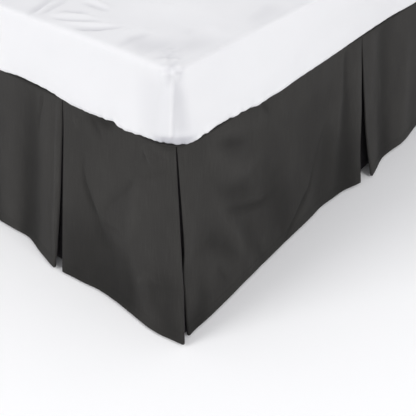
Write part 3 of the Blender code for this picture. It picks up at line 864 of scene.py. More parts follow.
def clothRows():
    length = skirt["topHeight"] - skirt["hemHeight"]
    hemLine = length - skirt["hemDeep"]
    count = math.ceil(hemLine / skirt["rowStep"])
    rows = [hemLine * step / count for step in range(count)]
    rows += [hemLine + offset for offset in skirt["hemRows"]]
    return sorted(rows) + [length]


def clothPush(folds, along, down, seed):
    # how far the cloth stands out from its smooth hang, and the shade and highlight painted on it along its
    # folds, lighter at its top and darker towards its hem
    length = skirt["topHeight"] - skirt["hemHeight"]
    towardsHem = smoothStep(0.8 * length, length, down)
    drift = unevenness(along, down, skirt["driftGrain"], seed)
    fine = unevenness(along, down, skirt["fineGrain"], seed + 7)
    hang = smoothStep(0.0, 0.045, down) * (1 - 0.5 * towardsHem) * skirt["wander"]
    pucker = 0.5 + 0.5 * unevenness(along, down, skirt["puckerGrain"], seed + 3)
    pucker *= skirt["seamPucker"] * (1 - smoothStep(0.004, 0.050, down)) * smoothStep(0.0, 0.006, down)
    fold = foldHeight(folds, along, down)
    # painted shade in the hollows of the folds and painted highlight on their ridges, varied with the
    # cloth's unevenness, painted lighter at the top
    shade = fold / skirt["foldShade"] + 0.35 * drift + 0.15 * fine + skirt["topShade"]
    # painted shade growing towards the hem
    shade -= skirt["hemShade"] * (down / length) ** 2
    fold *= skirt["foldScale"] * smoothStep(0, 0.015, down) * (1 - 0.7 * towardsHem)
    return hang * (drift + 0.28 * fine) + pucker + fold, math.tanh(shade)


def pushedOut(out, push):
    # cloth pressed in towards the base gives way less and less, so its layers stay apart
    if push >= 0:
        return out + push
    room = skirt["pressIn"] * out
    return out - room * math.tanh(-push / room)


def hangCloth(name, stations, toWorld, folds, seed):
    # cloth with no folds given hangs still
    length = skirt["topHeight"] - skirt["hemHeight"]
    rows = clothRows()
    across = [0.0]
    for (top0, hem0, *_), (top1, hem1, *_) in zip(stations, stations[1:]):
        across.append(across[-1] + (top0.lerp(hem0, 0.5) - top1.lerp(hem1, 0.5)).length)
    verts, faces, uvs, inside, shades = [], [], [], [], []
    for down in rows:
        spread = (down / length) ** skirt["fallPower"]
        for (top, hem, deep, lean), width in zip(stations, across):
            point = top.lerp(hem, spread)
            point.x += 4 * spread * (1 - spread) * (lean.x + lean.y * spread)
            shade = 0.0
            if folds:
                push, shade = clothPush(folds, point.x, down, seed)
                point.y = pushedOut(point.y, push)
                point.y += skirt["hemThicker"] * smoothStep(
                    -skirt["hemStitch"], skirt["hemStitch"], down - (length - skirt["hemDeep"]))
            shades.append(shade)
            verts.append((*toWorld(point), skirt["topHeight"] - down))
            uvs.append((width, -down))
            inside.append(deep)
    wide = len(stations)
    for row in range(len(rows) - 1):
        for column in range(wide - 1):
            first = row * wide + column
            faces.append((first, first + wide, first + wide + 1, first + 1))
    mesh = bpy.data.meshes.new(name)
    mesh.from_pydata(verts, [], faces)
    uvLayer = mesh.uv_layers.new(name="clothUV")
    for loop in mesh.loops:
        uvLayer.data[loop.index].uv = uvs[loop.vertex_index]
    # where the painted shade tint inside the pleats goes, from 0 to 1
    deepLayer = mesh.attributes.new("paintedPleatShade", "FLOAT", "POINT")
    deepLayer.data.foreach_set("value", inside)
    # the painted shade and highlight of the folds, top and hem, read by the cloth's material
    foldLayer = mesh.attributes.new("foldShade", "FLOAT", "POINT")
    foldLayer.data.foreach_set("value", shades)
    piece = bpy.data.objects.new(name, mesh)
    bpy.context.scene.collection.objects.link(piece)
    thick = piece.modifiers.new("clothThickness", "SOLIDIFY")
    thick.thickness = skirt["thickness"]
    thick.offset = 0.0
    thick.use_even_offset = True
    applyModifiers(piece)
    bpy.ops.object.shade_smooth_by_angle(angle=math.radians(skirt["smoothAngle"]))
    return piece, across[-1]


def footToWorld(point):
    return bedMiddle.x + point.x, bedMiddle.y - halfLength - point.y


def rightToWorld(point):
    return bedMiddle.x + halfWidth + point.y, bedMiddle.y + point.x


def leftToWorld(point):
    return bedMiddle.x - halfWidth - point.y, bedMiddle.y + point.x


bedWidth = 0.900
bedLength = 1.900
footCorner = straightHalf(halfWidth) + cornerRun(skirt["cornerWrap"])
sideCorner = straightHalf(halfLength) + cornerRun(skirt["cornerWrap"])
sideHead = straightHalf(halfLength) + cornerRun(skirt["headWrap"])
footEnds = (-footCorner, -bedWidth / 6, bedWidth / 6, footCorner)
sideEnds = (-sideCorner, -bedLength / 6, bedLength / 6, sideHead)
footPanels = cutPanels(footHem, 0.0, footEnds, halfWidth, ("middle", "right"))
rightPanels = cutPanels(rightHem, -bedLength / 2, sideEnds, halfLength, ("foot",))
leftPanels = cutPanels(leftHem, -bedLength / 2, sideEnds, halfLength, ())

dropFoot, footWidth = hangCloth(
    "footDrop", dropStations("foot", footPanels, (-1, 1)), footToWorld, footFolds, 1.3)
finishPiece(dropFoot, skirtMaterial, ["drop_foot"])
dropRight, rightWidth = hangCloth(
    "rightDrop", dropStations("right", rightPanels, (-1,)), rightToWorld, rightFolds, 5.1)
finishPiece(dropRight, skirtMaterial, ["drop_right"])
dropLeft, leftWidth = hangCloth(
    "leftDrop", dropStations("left", leftPanels, (-1,)), leftToWorld, leftFolds, 9.4)
finishPiece(dropLeft, skirtMaterial, ["drop_left"])
print("drops hung, cloth widths", round(footWidth, 3), round(rightWidth, 3), round(leftWidth, 3))


# the cloth behind each split foot corner

def roundedCorner(start, corner, stop, radius, steps):
    into = (corner - start).normalized()
    away = (stop - corner).normalized()
    turn = into.angle(away)
    trim = radius * math.tan(turn / 2)
    centre = corner + (away - into).normalized() * radius / math.cos(turn / 2)
    arcStart = corner - trim * into
    first = (arcStart - start).length
    arc = radius * turn
    last = (stop - corner).length - trim
    points = []
    for step in range(steps + 1):
        run = step / steps * (first + arc + last)
        if run <= first:
            points.append(start + run * into)
        elif run <= first + arc:
            angle = (run - first) / radius
            points.append(centre + (arcStart - centre) * math.cos(angle) + into * radius * math.sin(angle))
        else:
            points.append(corner + (trim + run - first - arc) * away)
    return points


def cornerUnderlay(name, footPanel, footEnd, sidePanel, sideToWorld):
    steps = skirt["cornerUnderSteps"]
    footFold = foldedBack(footPanel, footEnd, skirt["cornerParting"])
    sideFold = foldedBack(sidePanel, -1, skirt["cornerParting"])
    behind = skirt["cornerUnderBehind"]
    tip = len(turnAngles)

    def inside(station, toWorld, inward):
        return Vector(toWorld(station[1] + Vector((0.0, -inward))))

    hemStart = inside(footFold[-1], footToWorld, behind)
    hemStop = inside(sideFold[-1], sideToWorld, behind)
    footTip = inside(footFold[tip], footToWorld, skirt["cornerHemGap"])
    sideTip = inside(sideFold[tip], sideToWorld, skirt["cornerHemGap"])
    hemLine = roundedCorner(
        hemStart, Vector((sideTip.x, footTip.y)), hemStop, skirt["cornerHemRadius"], steps)
    reach = skirt["pleatDepth"] + skirt["topTurn"]
    stations = []
    for step, hem in enumerate(hemLine):
        run = reach * (2 * step / steps - 1)
        if run < 0:
            top = Vector(footToWorld(topPoint(footEnd * (footCorner + run), skirt["underLayer"], halfWidth)))
        else:
            top = Vector(sideToWorld(topPoint(-(sideCorner - run), skirt["underLayer"], halfLength)))
        stations.append((top, hem, 1.0, noLean))
    return hangCloth(name, stations, lambda point: (point.x, point.y), (), 0.0)


underRight, underRightWidth = cornerUnderlay(
    "rightCornerUnderlay", footPanels[-1], 1, rightPanels[0], rightToWorld)
finishPiece(underRight, skirtMaterial, ["corner_underlay_right"])
underLeft, underLeftWidth = cornerUnderlay(
    "leftCornerUnderlay", footPanels[0], -1, leftPanels[0], leftToWorld)
finishPiece(underLeft, skirtMaterial, ["corner_underlay_left"])
print("corner underlays, cloth widths", round(underRightWidth, 3), round(underLeftWidth, 3))


# the platform, flat under the mattress

platformLow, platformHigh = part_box("platform")
platformCloth = {
    "corner": 0.0575,
    "cornerSegments": 6,
    "thickness": 0.0013,
    "cellsAcross": 18,
    "cellsAlong": 36,
}


def makePlatform():
    deselectAll()
    middle = (platformLow + platformHigh) / 2
    bpy.ops.mesh.primitive_grid_add(
        x_subdivisions=platformCloth["cellsAcross"], y_subdivisions=platformCloth["cellsAlong"],
        size=1, location=middle)
    piece = bpy.context.object
    piece.name = "platformCloth"
    piece.scale = (platformHigh.x - platformLow.x, platformHigh.y - platformLow.y, 1)
    applyPlace(piece)
    bpy.ops.object.mode_set(mode="EDIT")
    bpy.ops.mesh.select_mode(type="VERT")
    bpy.ops.mesh.select_all(action="DESELECT")
    shape = bmesh.from_edit_mesh(piece.data)
    for vert in shape.verts:
        vert.select_set(len(vert.link_edges) == 2)  # the four corners
    bmesh.update_edit_mesh(piece.data)
    bpy.ops.mesh.bevel(
        offset=platformCloth["corner"], segments=platformCloth["cornerSegments"], affect="VERTICES")
    bpy.ops.object.mode_set(mode="OBJECT")
    uvLayer = piece.data.uv_layers[0]
    uvLayer.name = "clothUV"
    for loop in piece.data.loops:
        place = piece.data.vertices[loop.vertex_index].co
        uvLayer.data[loop.index].uv = (place.x, place.y)
    for name in ("paintedPleatShade", "foldShade"):
        layer = piece.data.attributes.new(name, "FLOAT", "POINT")
        layer.data.foreach_set("value", [0.0] * len(piece.data.vertices))
    thick = piece.modifiers.new("clothThickness", "SOLIDIFY")
    thick.thickness = platformCloth["thickness"]
    thick.offset = 0.0
    applyModifiers(piece)
    return piece


platformPiece = makePlatform()
finishPiece(platformPiece, skirtMaterial, ["platform"])
print("platform laid")


# the mattress in its fitted cover

mattressLow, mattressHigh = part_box("mattress")
mattressShape = {
    "corner": 0.058,
    "topEdge": 0.010,
    "bottomEdge": 0.007,
    "cornerTighten": 0.50,  # the top corners are sewn tighter than the elastic leaves the bottom ones
    "crown": 0.003,
    "belly": 0.0010,
    "overhang": 0.0030,  # the elastic hem stands out over the skirt's top
    "fine": 0.0034,
    "medium": 0.0048,
    "coarse": 0.0100,
    "edgeBand": 0.085,
    "footBand": 0.240,
    "lowHeights": (0.0, 0.0025, 0.005, 0.0080, 0.011, 0.0145, 0.018, 0.023, 0.029, 0.036),
    "middleFrom": 0.044,
    "middleStep": 0.0085,
    "topFrom": -0.015,  # from the top
    "topStep": 0.0025,
    "insetsBelow": (0.010, 0.020, 0.060),
    "wander": 0.0012,
    "slowGrain": (4, 4),
    "rippleGrain": (16, 24),
    "sideGrain": (7, 7),
    "sideGrainUp": 16,
    "wrinkleScale": 1.2,
    "wrinkleShade": 0.0062,
    "gatherDepth": 0.0032,
    "gatherReach": 0.020,
    "gatherGrain": (110, 110),
    "gatherShade": 0.3,
}
tiny = 1e-6

# the seam down each corner, with the puckers at its top and painted shade at its foot where the hem tucks
# under
coverSeam = {
    "offset": 0.0008,
    "lean": 0.0092,  # towards the foot side on its way down
    "width": 0.0028,
    "ridge": 0.0008,
    "groove": 0.0010,
    "grooveAway": 0.0058,
    "grooveWidth": 1.2,  # in seam widths
    "slack": 0.0030,
    "slackAway": 0.007,
    "slackLean": 0.014,
    "slackWidth": 0.006,
    "slackSpread": 0.012,
    "besideAway": 0.024,
    "besideWidth": 0.028,
    "fadeFrom": 0.075,
    "fadeTo": 0.105,
    "puckerDepth": 0.0032,
    "puckerGrain": (105, 105),
    "puckerGrainUp": 120,
    "tuckedShade": 1.9,
}
# the painted highlight on the seam's ridge and the painted shade in its groove, its slack hollow and the
# band beside it
seamShades = {
    "ridge": 0.18,
    "groove": 0.12,
    "slack": 0.42,
    "beside": 0.19,
}

# how far the elastic hem stands out where it shows, along the foot and along the right side
footPuffs = (
    (-0.460, 0.0030), (-0.300, 0.0055), (-0.160, 0.0015), (-0.060, 0.0050), (0.020, -0.0015),
    (0.060, -0.0010), (0.098, -0.0005), (0.117, 0.0010), (0.153, 0.0048), (0.189, 0.0071),
    (0.223, 0.0065), (0.256, 0.0050), (0.290, 0.0018), (0.320, 0.0067), (0.340, 0.0055),
    (0.366, 0.0026), (0.396, 0.0003), (0.438, 0.0006),
)
rightPuffs = (
    (-0.900, 0.0045), (-0.864, 0.0045), (-0.840, 0.0017), (-0.798, 0.0008), (-0.764, 0.0018),
    (-0.728, 0.0040), (-0.704, 0.0056), (-0.676, 0.0100), (-0.632, 0.0091), (-0.591, 0.0099),
    (-0.560, 0.0079), (-0.526, 0.0068), (-0.457, 0.0058), (-0.384, 0.0045), (-0.320, 0.0028),
    (-0.250, 0.0008), (-0.192, 0.0001), (-0.131, -0.0009), (0.050, 0.0035), (0.220, 0.0010),
    (0.420, 0.0050), (0.600, 0.0015), (0.780, 0.0040), (0.900, 0.0020),
)

# wrinkles on top, each a row of (x, y, width, height); the height also sets the shade and highlight painted
# along each wrinkle
topWrinkles = withReach((
    ((0.115, -0.878, 0.005, 0.0), (0.132, -0.868, 0.005, 0.0024), (0.155, -0.852, 0.005, 0.0032),
     (0.178, -0.840, 0.005, 0.0022), (0.198, -0.830, 0.005, 0.0)),
    ((0.116, -0.865, 0.006, 0.0), (0.123, -0.846, 0.006, -0.0020), (0.147, -0.833, 0.007, -0.0026),
     (0.172, -0.826, 0.006, 0.0)),
    ((0.130, -0.885, 0.005, 0.0), (0.148, -0.877, 0.005, -0.0026), (0.172, -0.864, 0.005, -0.0028),
     (0.196, -0.847, 0.005, -0.0022), (0.221, -0.836, 0.005, 0.0)),
    ((0.163, -0.889, 0.005, 0.0), (0.183, -0.878, 0.005, 0.0026), (0.212, -0.861, 0.005, 0.0032),
     (0.234, -0.843, 0.005, 0.0024), (0.250, -0.824, 0.005, 0.0)),
    ((0.195, -0.892, 0.007, 0.0), (0.215, -0.882, 0.008, -0.0026), (0.237, -0.864, 0.008, -0.0030),
     (0.255, -0.843, 0.007, -0.0020), (0.271, -0.824, 0.006, 0.0)),
    ((0.097, -0.779, 0.006, 0.0015), (0.121, -0.781, 0.006, 0.0030), (0.154, -0.782, 0.006, 0.0026),
     (0.183, -0.785, 0.006, 0.0)),
    ((0.115, -0.800, 0.007, 0.0), (0.141, -0.798, 0.007, -0.0022), (0.175, -0.798, 0.007, -0.0016),
     (0.197, -0.799, 0.006, 0.0)),
    ((0.079, -0.895, 0.006, -0.0010), (0.070, -0.870, 0.007, -0.0028), (0.055, -0.834, 0.007, -0.0020),
     (0.048, -0.800, 0.007, 0.0)),
    ((0.101, -0.890, 0.005, 0.0), (0.092, -0.859, 0.006, -0.0020), (0.085, -0.824, 0.006, -0.0014),
     (0.075, -0.797, 0.006, 0.0)),
    ((0.091, -0.891, 0.005, 0.0), (0.082, -0.860, 0.006, 0.0020), (0.071, -0.828, 0.006, 0.0)),
    ((0.324, -0.901, 0.007, 0.0), (0.314, -0.878, 0.009, -0.0016), (0.311, -0.854, 0.010, -0.0018),
     (0.317, -0.833, 0.009, -0.0012), (0.326, -0.820, 0.007, 0.0)),
    ((0.292, -0.869, 0.007, 0.0), (0.290, -0.843, 0.008, 0.0018), (0.297, -0.821, 0.008, 0.0016),
     (0.310, -0.804, 0.007, 0.0)),
    ((0.318, -0.884, 0.022, 0.0), (0.338, -0.866, 0.032, -0.0020), (0.368, -0.852, 0.032, -0.0022),
     (0.398, -0.856, 0.020, 0.0)),
    ((0.372, -0.815, 0.026, 0.0), (0.402, -0.812, 0.030, -0.0011), (0.417, -0.789, 0.026, -0.0008),
     (0.414, -0.759, 0.020, 0.0)),
    ((0.190, -0.735, 0.030, 0.0), (0.280, -0.710, 0.055, 0.0028), (0.346, -0.680, 0.055, 0.0030),
     (0.370, -0.620, 0.040, 0.0016), (0.360, -0.560, 0.030, 0.0)),
    ((0.393, -0.894, 0.005, 0.0), (0.400, -0.879, 0.005, -0.0010), (0.413, -0.868, 0.005, -0.0008),
     (0.433, -0.867, 0.005, 0.0)),
    ((0.406, -0.898, 0.005, 0.0), (0.414, -0.884, 0.005, 0.0012), (0.428, -0.875, 0.005, 0.0)),
    ((0.200, -0.791, 0.040, 0.0), (0.227, -0.755, 0.050, 0.0016), (0.278, -0.714, 0.050, 0.0018),
     (0.322, -0.679, 0.045, 0.0014), (0.363, -0.671, 0.030, 0.0)),
    ((0.349, -0.778, 0.014, 0.0), (0.365, -0.771, 0.016, -0.0006), (0.379, -0.760, 0.014, 0.0)),
    ((0.390, -0.756, 0.016, 0.0), (0.395, -0.735, 0.018, 0.0016), (0.397, -0.704, 0.016, 0.0)),
    ((0.419, -0.698, 0.022, 0.0), (0.416, -0.652, 0.028, -0.0013), (0.407, -0.596, 0.028, -0.0014),
     (0.388, -0.530, 0.024, 0.0)),
    ((0.080, -0.640, 0.060, 0.0), (0.200, -0.620, 0.090, 0.0016), (0.320, -0.560, 0.080, 0.0016),
     (0.400, -0.500, 0.050, 0.0)),
    ((-0.050, -0.820, 0.010, 0.0), (0.010, -0.790, 0.010, 0.0024), (0.060, -0.780, 0.010, 0.0)),
    ((-0.250, -0.860, 0.010, 0.0), (-0.200, -0.820, 0.010, 0.0022), (-0.130, -0.810, 0.010, 0.0)),
    ((-0.370, -0.720, 0.018, 0.0), (-0.300, -0.655, 0.022, -0.0014), (-0.210, -0.620, 0.020, -0.0010),
     (-0.120, -0.610, 0.018, 0.0)),
    ((-0.390, -0.880, 0.006, 0.0), (-0.370, -0.850, 0.007, -0.0024), (-0.380, -0.800, 0.007, 0.0)),
    ((-0.240, -0.520, 0.024, 0.0), (-0.080, -0.470, 0.028, 0.0020), (0.090, -0.440, 0.028, 0.0018),
     (0.240, -0.450, 0.024, 0.0)),
    ((0.020, -0.240, 0.022, 0.0), (0.150, -0.190, 0.026, -0.0013), (0.280, -0.165, 0.026, -0.0012),
     (0.400, -0.190, 0.022, 0.0)),
    ((-0.380, 0.060, 0.024, 0.0), (-0.240, 0.120, 0.028, 0.0018), (-0.080, 0.150, 0.028, 0.0018),
     (0.080, 0.130, 0.024, 0.0)),
    ((-0.080, 0.400, 0.022, 0.0), (0.070, 0.445, 0.026, -0.0013), (0.220, 0.470, 0.026, -0.0012),
     (0.360, 0.440, 0.022, 0.0)),
    ((-0.340, 0.680, 0.024, 0.0), (-0.180, 0.730, 0.028, 0.0018), (-0.020, 0.740, 0.028, 0.0016),
     (0.130, 0.710, 0.024, 0.0)),
    ((0.200, 0.880, 0.012, 0.0), (0.260, 0.900, 0.012, 0.0024), (0.330, 0.930, 0.012, 0.0)),
))


def gridLines(bands):
    # lines across the cover, closer together where it is more shaped
    lines = []
    for start, stop, spacing in bands:
        count = math.ceil((stop - start) / spacing)
        lines += [start + (stop - start) * step / count for step in range(count)]
    return lines + [bands[-1][1]]


def roundEdge(inset, depth, radius):
    # a point on a square edge, moved to the round one
    if inset >= radius or depth >= radius:
        return inset, depth
    a, b = radius - inset, radius - depth
    scale = radius / math.hypot(a, b)
    return radius - a * scale, radius - b * scale


def coverPoint(x, y, z, halfX, halfY, height):
    # from a plain box's surface to the mattress's rounded one, about the mattress's middle
    shape = mattressShape
    inset = min(halfX - abs(x), halfY - abs(y))
    above, below = height - z, z
    newInset = inset
    if above < shape["topEdge"] + tiny:
        newInset, above = roundEdge(inset, above, shape["topEdge"])
        z = height - above
    elif below < shape["bottomEdge"] + tiny:
        newInset, below = roundEdge(inset, below, shape["bottomEdge"])
        z = below
    # the plain box's shell at this inset, then its corners rounded in plan
    moved = newInset - inset
    if moved:
        nearSide = halfX - abs(x) <= inset + tiny / 1000
        nearEnd = halfY - abs(y) <= inset + tiny / 1000
        if nearSide:
            x = math.copysign(abs(x) - moved, x)
        if nearEnd:
            y = math.copysign(abs(y) - moved, y)
    corner = shape["corner"] * (1 - shape["cornerTighten"] * smoothStep(0.0, 1.0, z / height))
    coreX = min(abs(x), halfX - corner)
    coreY = min(abs(y), halfY - corner)
    dx, dy = abs(x) - coreX, abs(y) - coreY
    if dx > 0 and dy > 0:
        scale = max(dx, dy) / math.hypot(dx, dy)
        dx, dy = dx * scale, dy * scale
    return math.copysign(coreX + dx, x), math.copysign(coreY + dy, y), z


def coverLines(halfX, halfY, height):
    # the cover's lines across, along and up it
    shape = mattressShape
    edge = shape["edgeBand"]
    xs = gridLines((
        (-halfX, -halfX + edge, shape["fine"]),
        (-halfX + edge, halfX - edge, shape["medium"]),
        (halfX - edge, halfX, shape["fine"]),
    ))
    ys = gridLines((
        (-halfY, -halfY + edge, shape["fine"]),
        (-halfY + edge, -halfY + shape["footBand"], shape["medium"]),
        (-halfY + shape["footBand"], halfY - edge, shape["coarse"]),
        (halfY - edge, halfY, shape["medium"]),
    ))
    zs = list(shape["lowHeights"])
    zs += [shape["middleFrom"] + shape["middleStep"] * step for step in range(10)]
    zs += [height + shape["topFrom"] + shape["topStep"] * step for step in range(7)]
    return xs, ys, zs


def joinRings(cover, lower, upper):
    wide = len(lower)
    for index in range(wide):
        after = (index + 1) % wide
        cover.faces.new((lower[index], lower[after], upper[after], upper[index]))


def coverGrid(halfX, halfY, height):
    # the plain mattress's surface as a fine grid
    xs, ys, zs = coverLines(halfX, halfY, height)
    ring = [(x, ys[0]) for x in xs[:-1]] + [(xs[-1], y) for y in ys[:-1]]
    ring += [(x, ys[-1]) for x in xs[:0:-1]] + [(xs[0], y) for y in ys[:0:-1]]
    cover = bmesh.new()
    sides = []
    for z in zs:
        sides.append([cover.verts.new(coverPoint(x, y, z, halfX, halfY, height)) for x, y in ring])
    for lower, upper in zip(sides, sides[1:]):
        joinRings(cover, lower, upper)
    top = dict(zip(ring, sides[-1]))
    for x in xs[1:-1]:
        for y in ys[1:-1]:
            top[(x, y)] = cover.verts.new(coverPoint(x, y, height, halfX, halfY, height))
    for x0, x1 in zip(xs, xs[1:]):
        for y0, y1 in zip(ys, ys[1:]):
            cover.faces.new((top[(x0, y0)], top[(x1, y0)], top[(x1, y1)], top[(x0, y1)]))
    # underneath: flat bands and one flat middle
    rings = [sides[0]]
    for inset in mattressShape["insetsBelow"]:
        made = []
        for x, y in ring:
            px, py, _ = coverPoint(x, y, 0.0, halfX, halfY, height)
            made.append(cover.verts.new((px * (1 - inset / halfX), py * (1 - inset / halfY), 0.0)))
        rings.append(made)
    for outer, inner in zip(rings, rings[1:]):
        joinRings(cover, inner, outer)
    cover.faces.new(rings[-1][::-1])
    bmesh.ops.recalc_face_normals(cover, faces=cover.faces)
    cover.normal_update()
    return cover


def makeCover():
    halfX = (mattressHigh.x - mattressLow.x) / 2
    halfY = (mattressHigh.y - mattressLow.y) / 2
    height = mattressHigh.z - mattressLow.z
    middle = (mattressLow + mattressHigh) / 2
    cover = coverGrid(halfX, halfY, height)
    shades = cover.verts.layers.float.new("foldShade")
    normals = {vert: vert.normal.copy() for vert in cover.verts}
    for vert in cover.verts:
        if vert.co.z > 10 * tiny:
            push, shade = coverPush(vert.co, normals[vert], halfX, halfY, height)
            vert.co += push * normals[vert]
            # the painted shade and highlight, read by the cover's material
            vert[shades] = math.tanh(shade)
    bmesh.ops.translate(cover, vec=(middle.x, middle.y, mattressLow.z), verts=cover.verts)
    mesh = bpy.data.meshes.new("mattressCover")
    cover.to_mesh(mesh)
    cover.free()
    piece = bpy.data.objects.new("mattressCover", mesh)
    bpy.context.scene.collection.objects.link(piece)
    makeActive(piece)
    bpy.ops.object.shade_smooth()
    return piece


def tableValue(rows, along):
    if along <= rows[0][0]:
        return rows[0][1]
    for (x0, y0), (x1, y1) in zip(rows, rows[1:]):
        if along <= x1:
            return y0 + (y1 - y0) * smoothStep(x0, x1, along)
    return rows[-1][1]


def hemStandsOut(x, y, worldX, worldY, acrossSeam):
    footOrHead = tableValue(footPuffs, worldX) if y < 0 else mattressShape["overhang"]
    onSide = tableValue(rightPuffs, worldY) if x > 0 else mattressShape["overhang"]
    part = smoothStep(-0.025, 0.025, acrossSeam)
    return footOrHead + (onSide - footOrHead) * part


def bump(away, width):
    return math.exp(-(away / width) ** 2)


def cornerSeam(acrossSeam, up):
    # a ridge with a groove beside it, and a slack hollow that widens on its way down, with a painted
    # highlight on the ridge and painted shade in the groove, in the hollow and in a band beside the seam
    seam = coverSeam
    low = 1 - up
    away = acrossSeam + seam["offset"] + seam["lean"] * low
    ridge = bump(away, seam["width"])
    groove = bump(away - seam["grooveAway"], seam["grooveWidth"] * seam["width"])
    slack = bump(away - seam["slackAway"] - seam["slackLean"] * low,
                 seam["slackWidth"] + seam["slackSpread"] * low)
    slack *= smoothStep(0.98, 0.60, up) * smoothStep(0.0, 0.25, up)
    beside = bump(away + seam["besideAway"], seam["besideWidth"]) * smoothStep(1.0, 0.7, up)
    push = seam["ridge"] * ridge - seam["groove"] * groove - seam["slack"] * slack
    shade = seamShades["ridge"] * ridge - seamShades["groove"] * groove
    return push, shade - seamShades["slack"] * slack - seamShades["beside"] * beside


def seamTop(worldX, worldY, z, acrossSeam, height):
    # puckers where the seam meets the top
    grain = coverSeam["puckerGrain"]
    pucker = unevenness(worldX, worldY, grain, z * coverSeam["puckerGrainUp"])
    reach = smoothStep(0.026, 0.004, abs(acrossSeam)) * smoothStep(height - 0.040, height - 0.014, z)
    return pucker, reach


def coverPush(place, normal, halfX, halfY, height):
    # how far the cover stands out from the plain mattress, and the shade and highlight painted on it along
    # its wrinkles, seams, tuck and gathers
    shape = mattressShape
    x, y, z = place
    worldX = x + (mattressLow.x + mattressHigh.x) / 2
    worldY = y + (mattressLow.y + mattressHigh.y) / 2
    up = z / height
    onTop = smoothStep(0.5, 0.95, normal.z)
    side = 1 - onTop
    crown = shape["crown"] * (1 - (x / halfX) ** 4) * (1 - (y / halfY) ** 4)
    slow = unevenness(worldX, worldY, shape["slowGrain"], 2.0)
    ripple = unevenness(worldX, worldY, shape["rippleGrain"], 6.0)
    wrinkle = foldHeight(topWrinkles, worldX, worldY)
    push = onTop * (crown + shape["wander"] * (1.6 * slow + 0.5 * ripple) + wrinkle * shape["wrinkleScale"])
    # painted shade in the top's wrinkles and painted highlight on them, varied with its slow unevenness
    shade = onTop * (wrinkle / shape["wrinkleShade"] + 0.12 * slow + 0.08 * ripple)
    # the band round the side
    acrossSeam = (abs(x) - halfX - (abs(y) - halfY)) / math.sqrt(2)
    push += side * shape["belly"] * 4 * up * (1 - up)
    push += side * hemStandsOut(x, y, worldX, worldY, acrossSeam) * (1 - smoothStep(0.0, 0.55, up))
    uneven = unevenness(worldX, worldY, shape["sideGrain"], z * shape["sideGrainUp"])
    push += side * uneven * shape["wander"]
    # painted shade and light following the band's unevenness
    shade += side * 0.07 * uneven
    # its seams at the corners
    fromCorner = math.hypot(halfX - abs(x), halfY - abs(y))
    nearSeam = 1 - smoothStep(coverSeam["fadeFrom"], coverSeam["fadeTo"], fromCorner)
    if nearSeam > 0:
        seamPush, seamShade = cornerSeam(acrossSeam, up)
        push += side * nearSeam * seamPush
        # painted shade and highlight along the seam
        shade += side * nearSeam * seamShade
        pucker, reach = seamTop(worldX, worldY, z, acrossSeam, height)
        reach *= nearSeam * (1 - 0.5 * onTop)
        push += pucker * coverSeam["puckerDepth"] * reach
        # painted shade over the top of the seam, mottled lighter and darker with its puckers
        shade += pucker * 0.5 * reach - 0.30 * reach
        # painted shade where the hem tucks under at the foot of the seam
        tucked = smoothStep(0.042, 0.010, abs(acrossSeam + 0.002)) * (1 - smoothStep(0.008, 0.021, z))
        shade -= coverSeam["tuckedShade"] * tucked
    # the elastic's gathers, most near the corners
    low = smoothStep(shape["gatherReach"], 0.003, z)
    drawn = 0.28 + 0.60 * smoothStep(0.34, 0.10, fromCorner)
    gathers = unevenness(worldX, worldY, shape["gatherGrain"], 4.0)
    push += low * drawn * gathers * shape["gatherDepth"]
    # painted shade and highlight following the gathers
    shade += low * drawn * gathers * shape["gatherShade"]
    return push, shade


coverPiece = makeCover()
finishPiece(coverPiece, coverMaterial, ["mattress"])
print("mattress cover")


# the bed base

base = {
    "corner": 0.050,
    "cornerSegments": 8,
    "edge": 0.006,
    "edgeSegments": 3,
    "trimBand": 0.030,
    "seamHalfWidth": 0.0022,
    "seamDepth": 0.0016,
    "smoothAngle": 35,
}


def makeBase():
    deselectAll()
    size = baseHigh - baseLow
    bpy.ops.mesh.primitive_cube_add(size=1, location=bedMiddle)
    piece = bpy.context.object
    piece.name = "upholsteredBase"
    piece.scale = size
    applyPlace(piece)
    bpy.ops.object.mode_set(mode="EDIT")
    bpy.ops.mesh.select_mode(type="EDGE")
    shape = bmesh.from_edit_mesh(piece.data)
    for edge in shape.edges:
        upright = abs(edge.verts[0].co.z - edge.verts[1].co.z) > size.z / 2
        edge.select_set(upright)
    bmesh.update_edit_mesh(piece.data)
    bpy.ops.mesh.bevel(offset=base["corner"], segments=base["cornerSegments"], profile=0.5)
    shape = bmesh.from_edit_mesh(piece.data)
    for face in shape.faces:
        face.select_set(False)
    for edge in shape.edges:
        level = abs(edge.verts[0].co.z - edge.verts[1].co.z) < 1e-5
        edge.select_set(level)
    bmesh.update_edit_mesh(piece.data)
    bpy.ops.mesh.bevel(offset=base["edge"], segments=base["edgeSegments"], profile=0.5)
    # two stitched seams round the sides, where the top and bottom panels are sewn on
    seamHeights = (base["trimBand"], size.z - base["trimBand"])
    for height in seamHeights:
        for offset in (-base["seamHalfWidth"], 0.0, base["seamHalfWidth"]):
            bpy.ops.mesh.select_all(action="SELECT")
            bpy.ops.mesh.bisect(
                plane_co=(bedMiddle.x, bedMiddle.y, baseLow.z + height + offset),
                plane_no=(0, 0, 1),
            )
    shape = bmesh.from_edit_mesh(piece.data)
    shape.normal_update()
    for vert in shape.verts:
        for height in seamHeights:
            onSeam = abs(vert.co.z - baseLow.z - height) < base["seamHalfWidth"] / 5
            if onSeam and abs(vert.normal.z) < 0.3:
                vert.co -= vert.normal * base["seamDepth"]
    bmesh.update_edit_mesh(piece.data)
    bpy.ops.object.mode_set(mode="OBJECT")
    makeActive(piece)
    bpy.ops.object.shade_smooth_by_angle(angle=math.radians(base["smoothAngle"]))
    return piece


basePiece = makeBase()
finishPiece(basePiece, baseMaterial, ["bed_base"])
print("bed base")


# the glides under the base

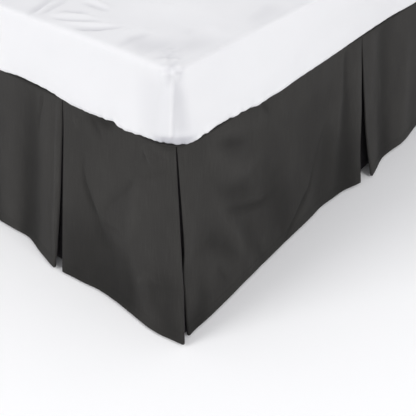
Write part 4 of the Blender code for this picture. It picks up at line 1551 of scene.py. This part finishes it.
glide = {
    "count": 6,
    "sides": 32,
    "collar": 0.0035,
    "waist": 0.0195,
    "foot": 0.0220,
    "softEdge": 0.0008,
    "softSegments": 2,
    "smoothAngle": 35,
}


def makeGlide():
    low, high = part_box("glide_1")
    middle = (low + high) / 2
    radius = (high.x - low.x) / 2
    deselectAll()
    bpy.ops.mesh.primitive_cylinder_add(
        vertices=glide["sides"], radius=radius, depth=high.z - low.z, location=middle)
    piece = bpy.context.object
    piece.name = "glidePattern"
    applyPlace(piece)
    # height above the floor and radius there
    rings = (
        (0.0, glide["foot"] - 0.002),
        (0.003, glide["foot"]),
        (0.008, glide["foot"] - 0.0004),
        (high.z - low.z - 0.010, glide["waist"]),
        (high.z - low.z - glide["collar"], radius),
        (high.z - low.z, radius),
    )
    bpy.ops.object.mode_set(mode="EDIT")
    for height, _ in rings[1:-1]:
        bpy.ops.mesh.select_all(action="SELECT")
        bpy.ops.mesh.bisect(plane_co=(middle.x, middle.y, low.z + height), plane_no=(0, 0, 1))
    bpy.ops.object.mode_set(mode="OBJECT")
    for vert in piece.data.vertices:
        wanted = min(rings, key=lambda row: abs(row[0] - (vert.co.z - low.z)))[1]
        outward = Vector((vert.co.x - middle.x, vert.co.y - middle.y))
        outward = outward.normalized() * wanted
        vert.co.x = middle.x + outward.x
        vert.co.y = middle.y + outward.y
    soft = piece.modifiers.new("softEdges", "BEVEL")
    soft.width = glide["softEdge"]
    soft.segments = glide["softSegments"]
    soft.limit_method = "ANGLE"
    applyModifiers(piece)
    bpy.ops.object.shade_smooth_by_angle(angle=math.radians(glide["smoothAngle"]))
    return piece, middle


glidePattern, patternMiddle = makeGlide()
for number in range(1, glide["count"] + 1):
    low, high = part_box(f"glide_{number}")
    glideMesh = glidePattern.data.copy()
    glideMesh.transform(Matrix.Translation((low + high) / 2 - patternMiddle))
    glidePiece = bpy.data.objects.new(f"glide{number}", glideMesh)
    bpy.context.scene.collection.objects.link(glidePiece)
    finishPiece(glidePiece, plasticMaterial, [f"glide_{number}"])
bpy.data.objects.remove(glidePattern, do_unlink=True)
print("glides")


print("all pieces made")
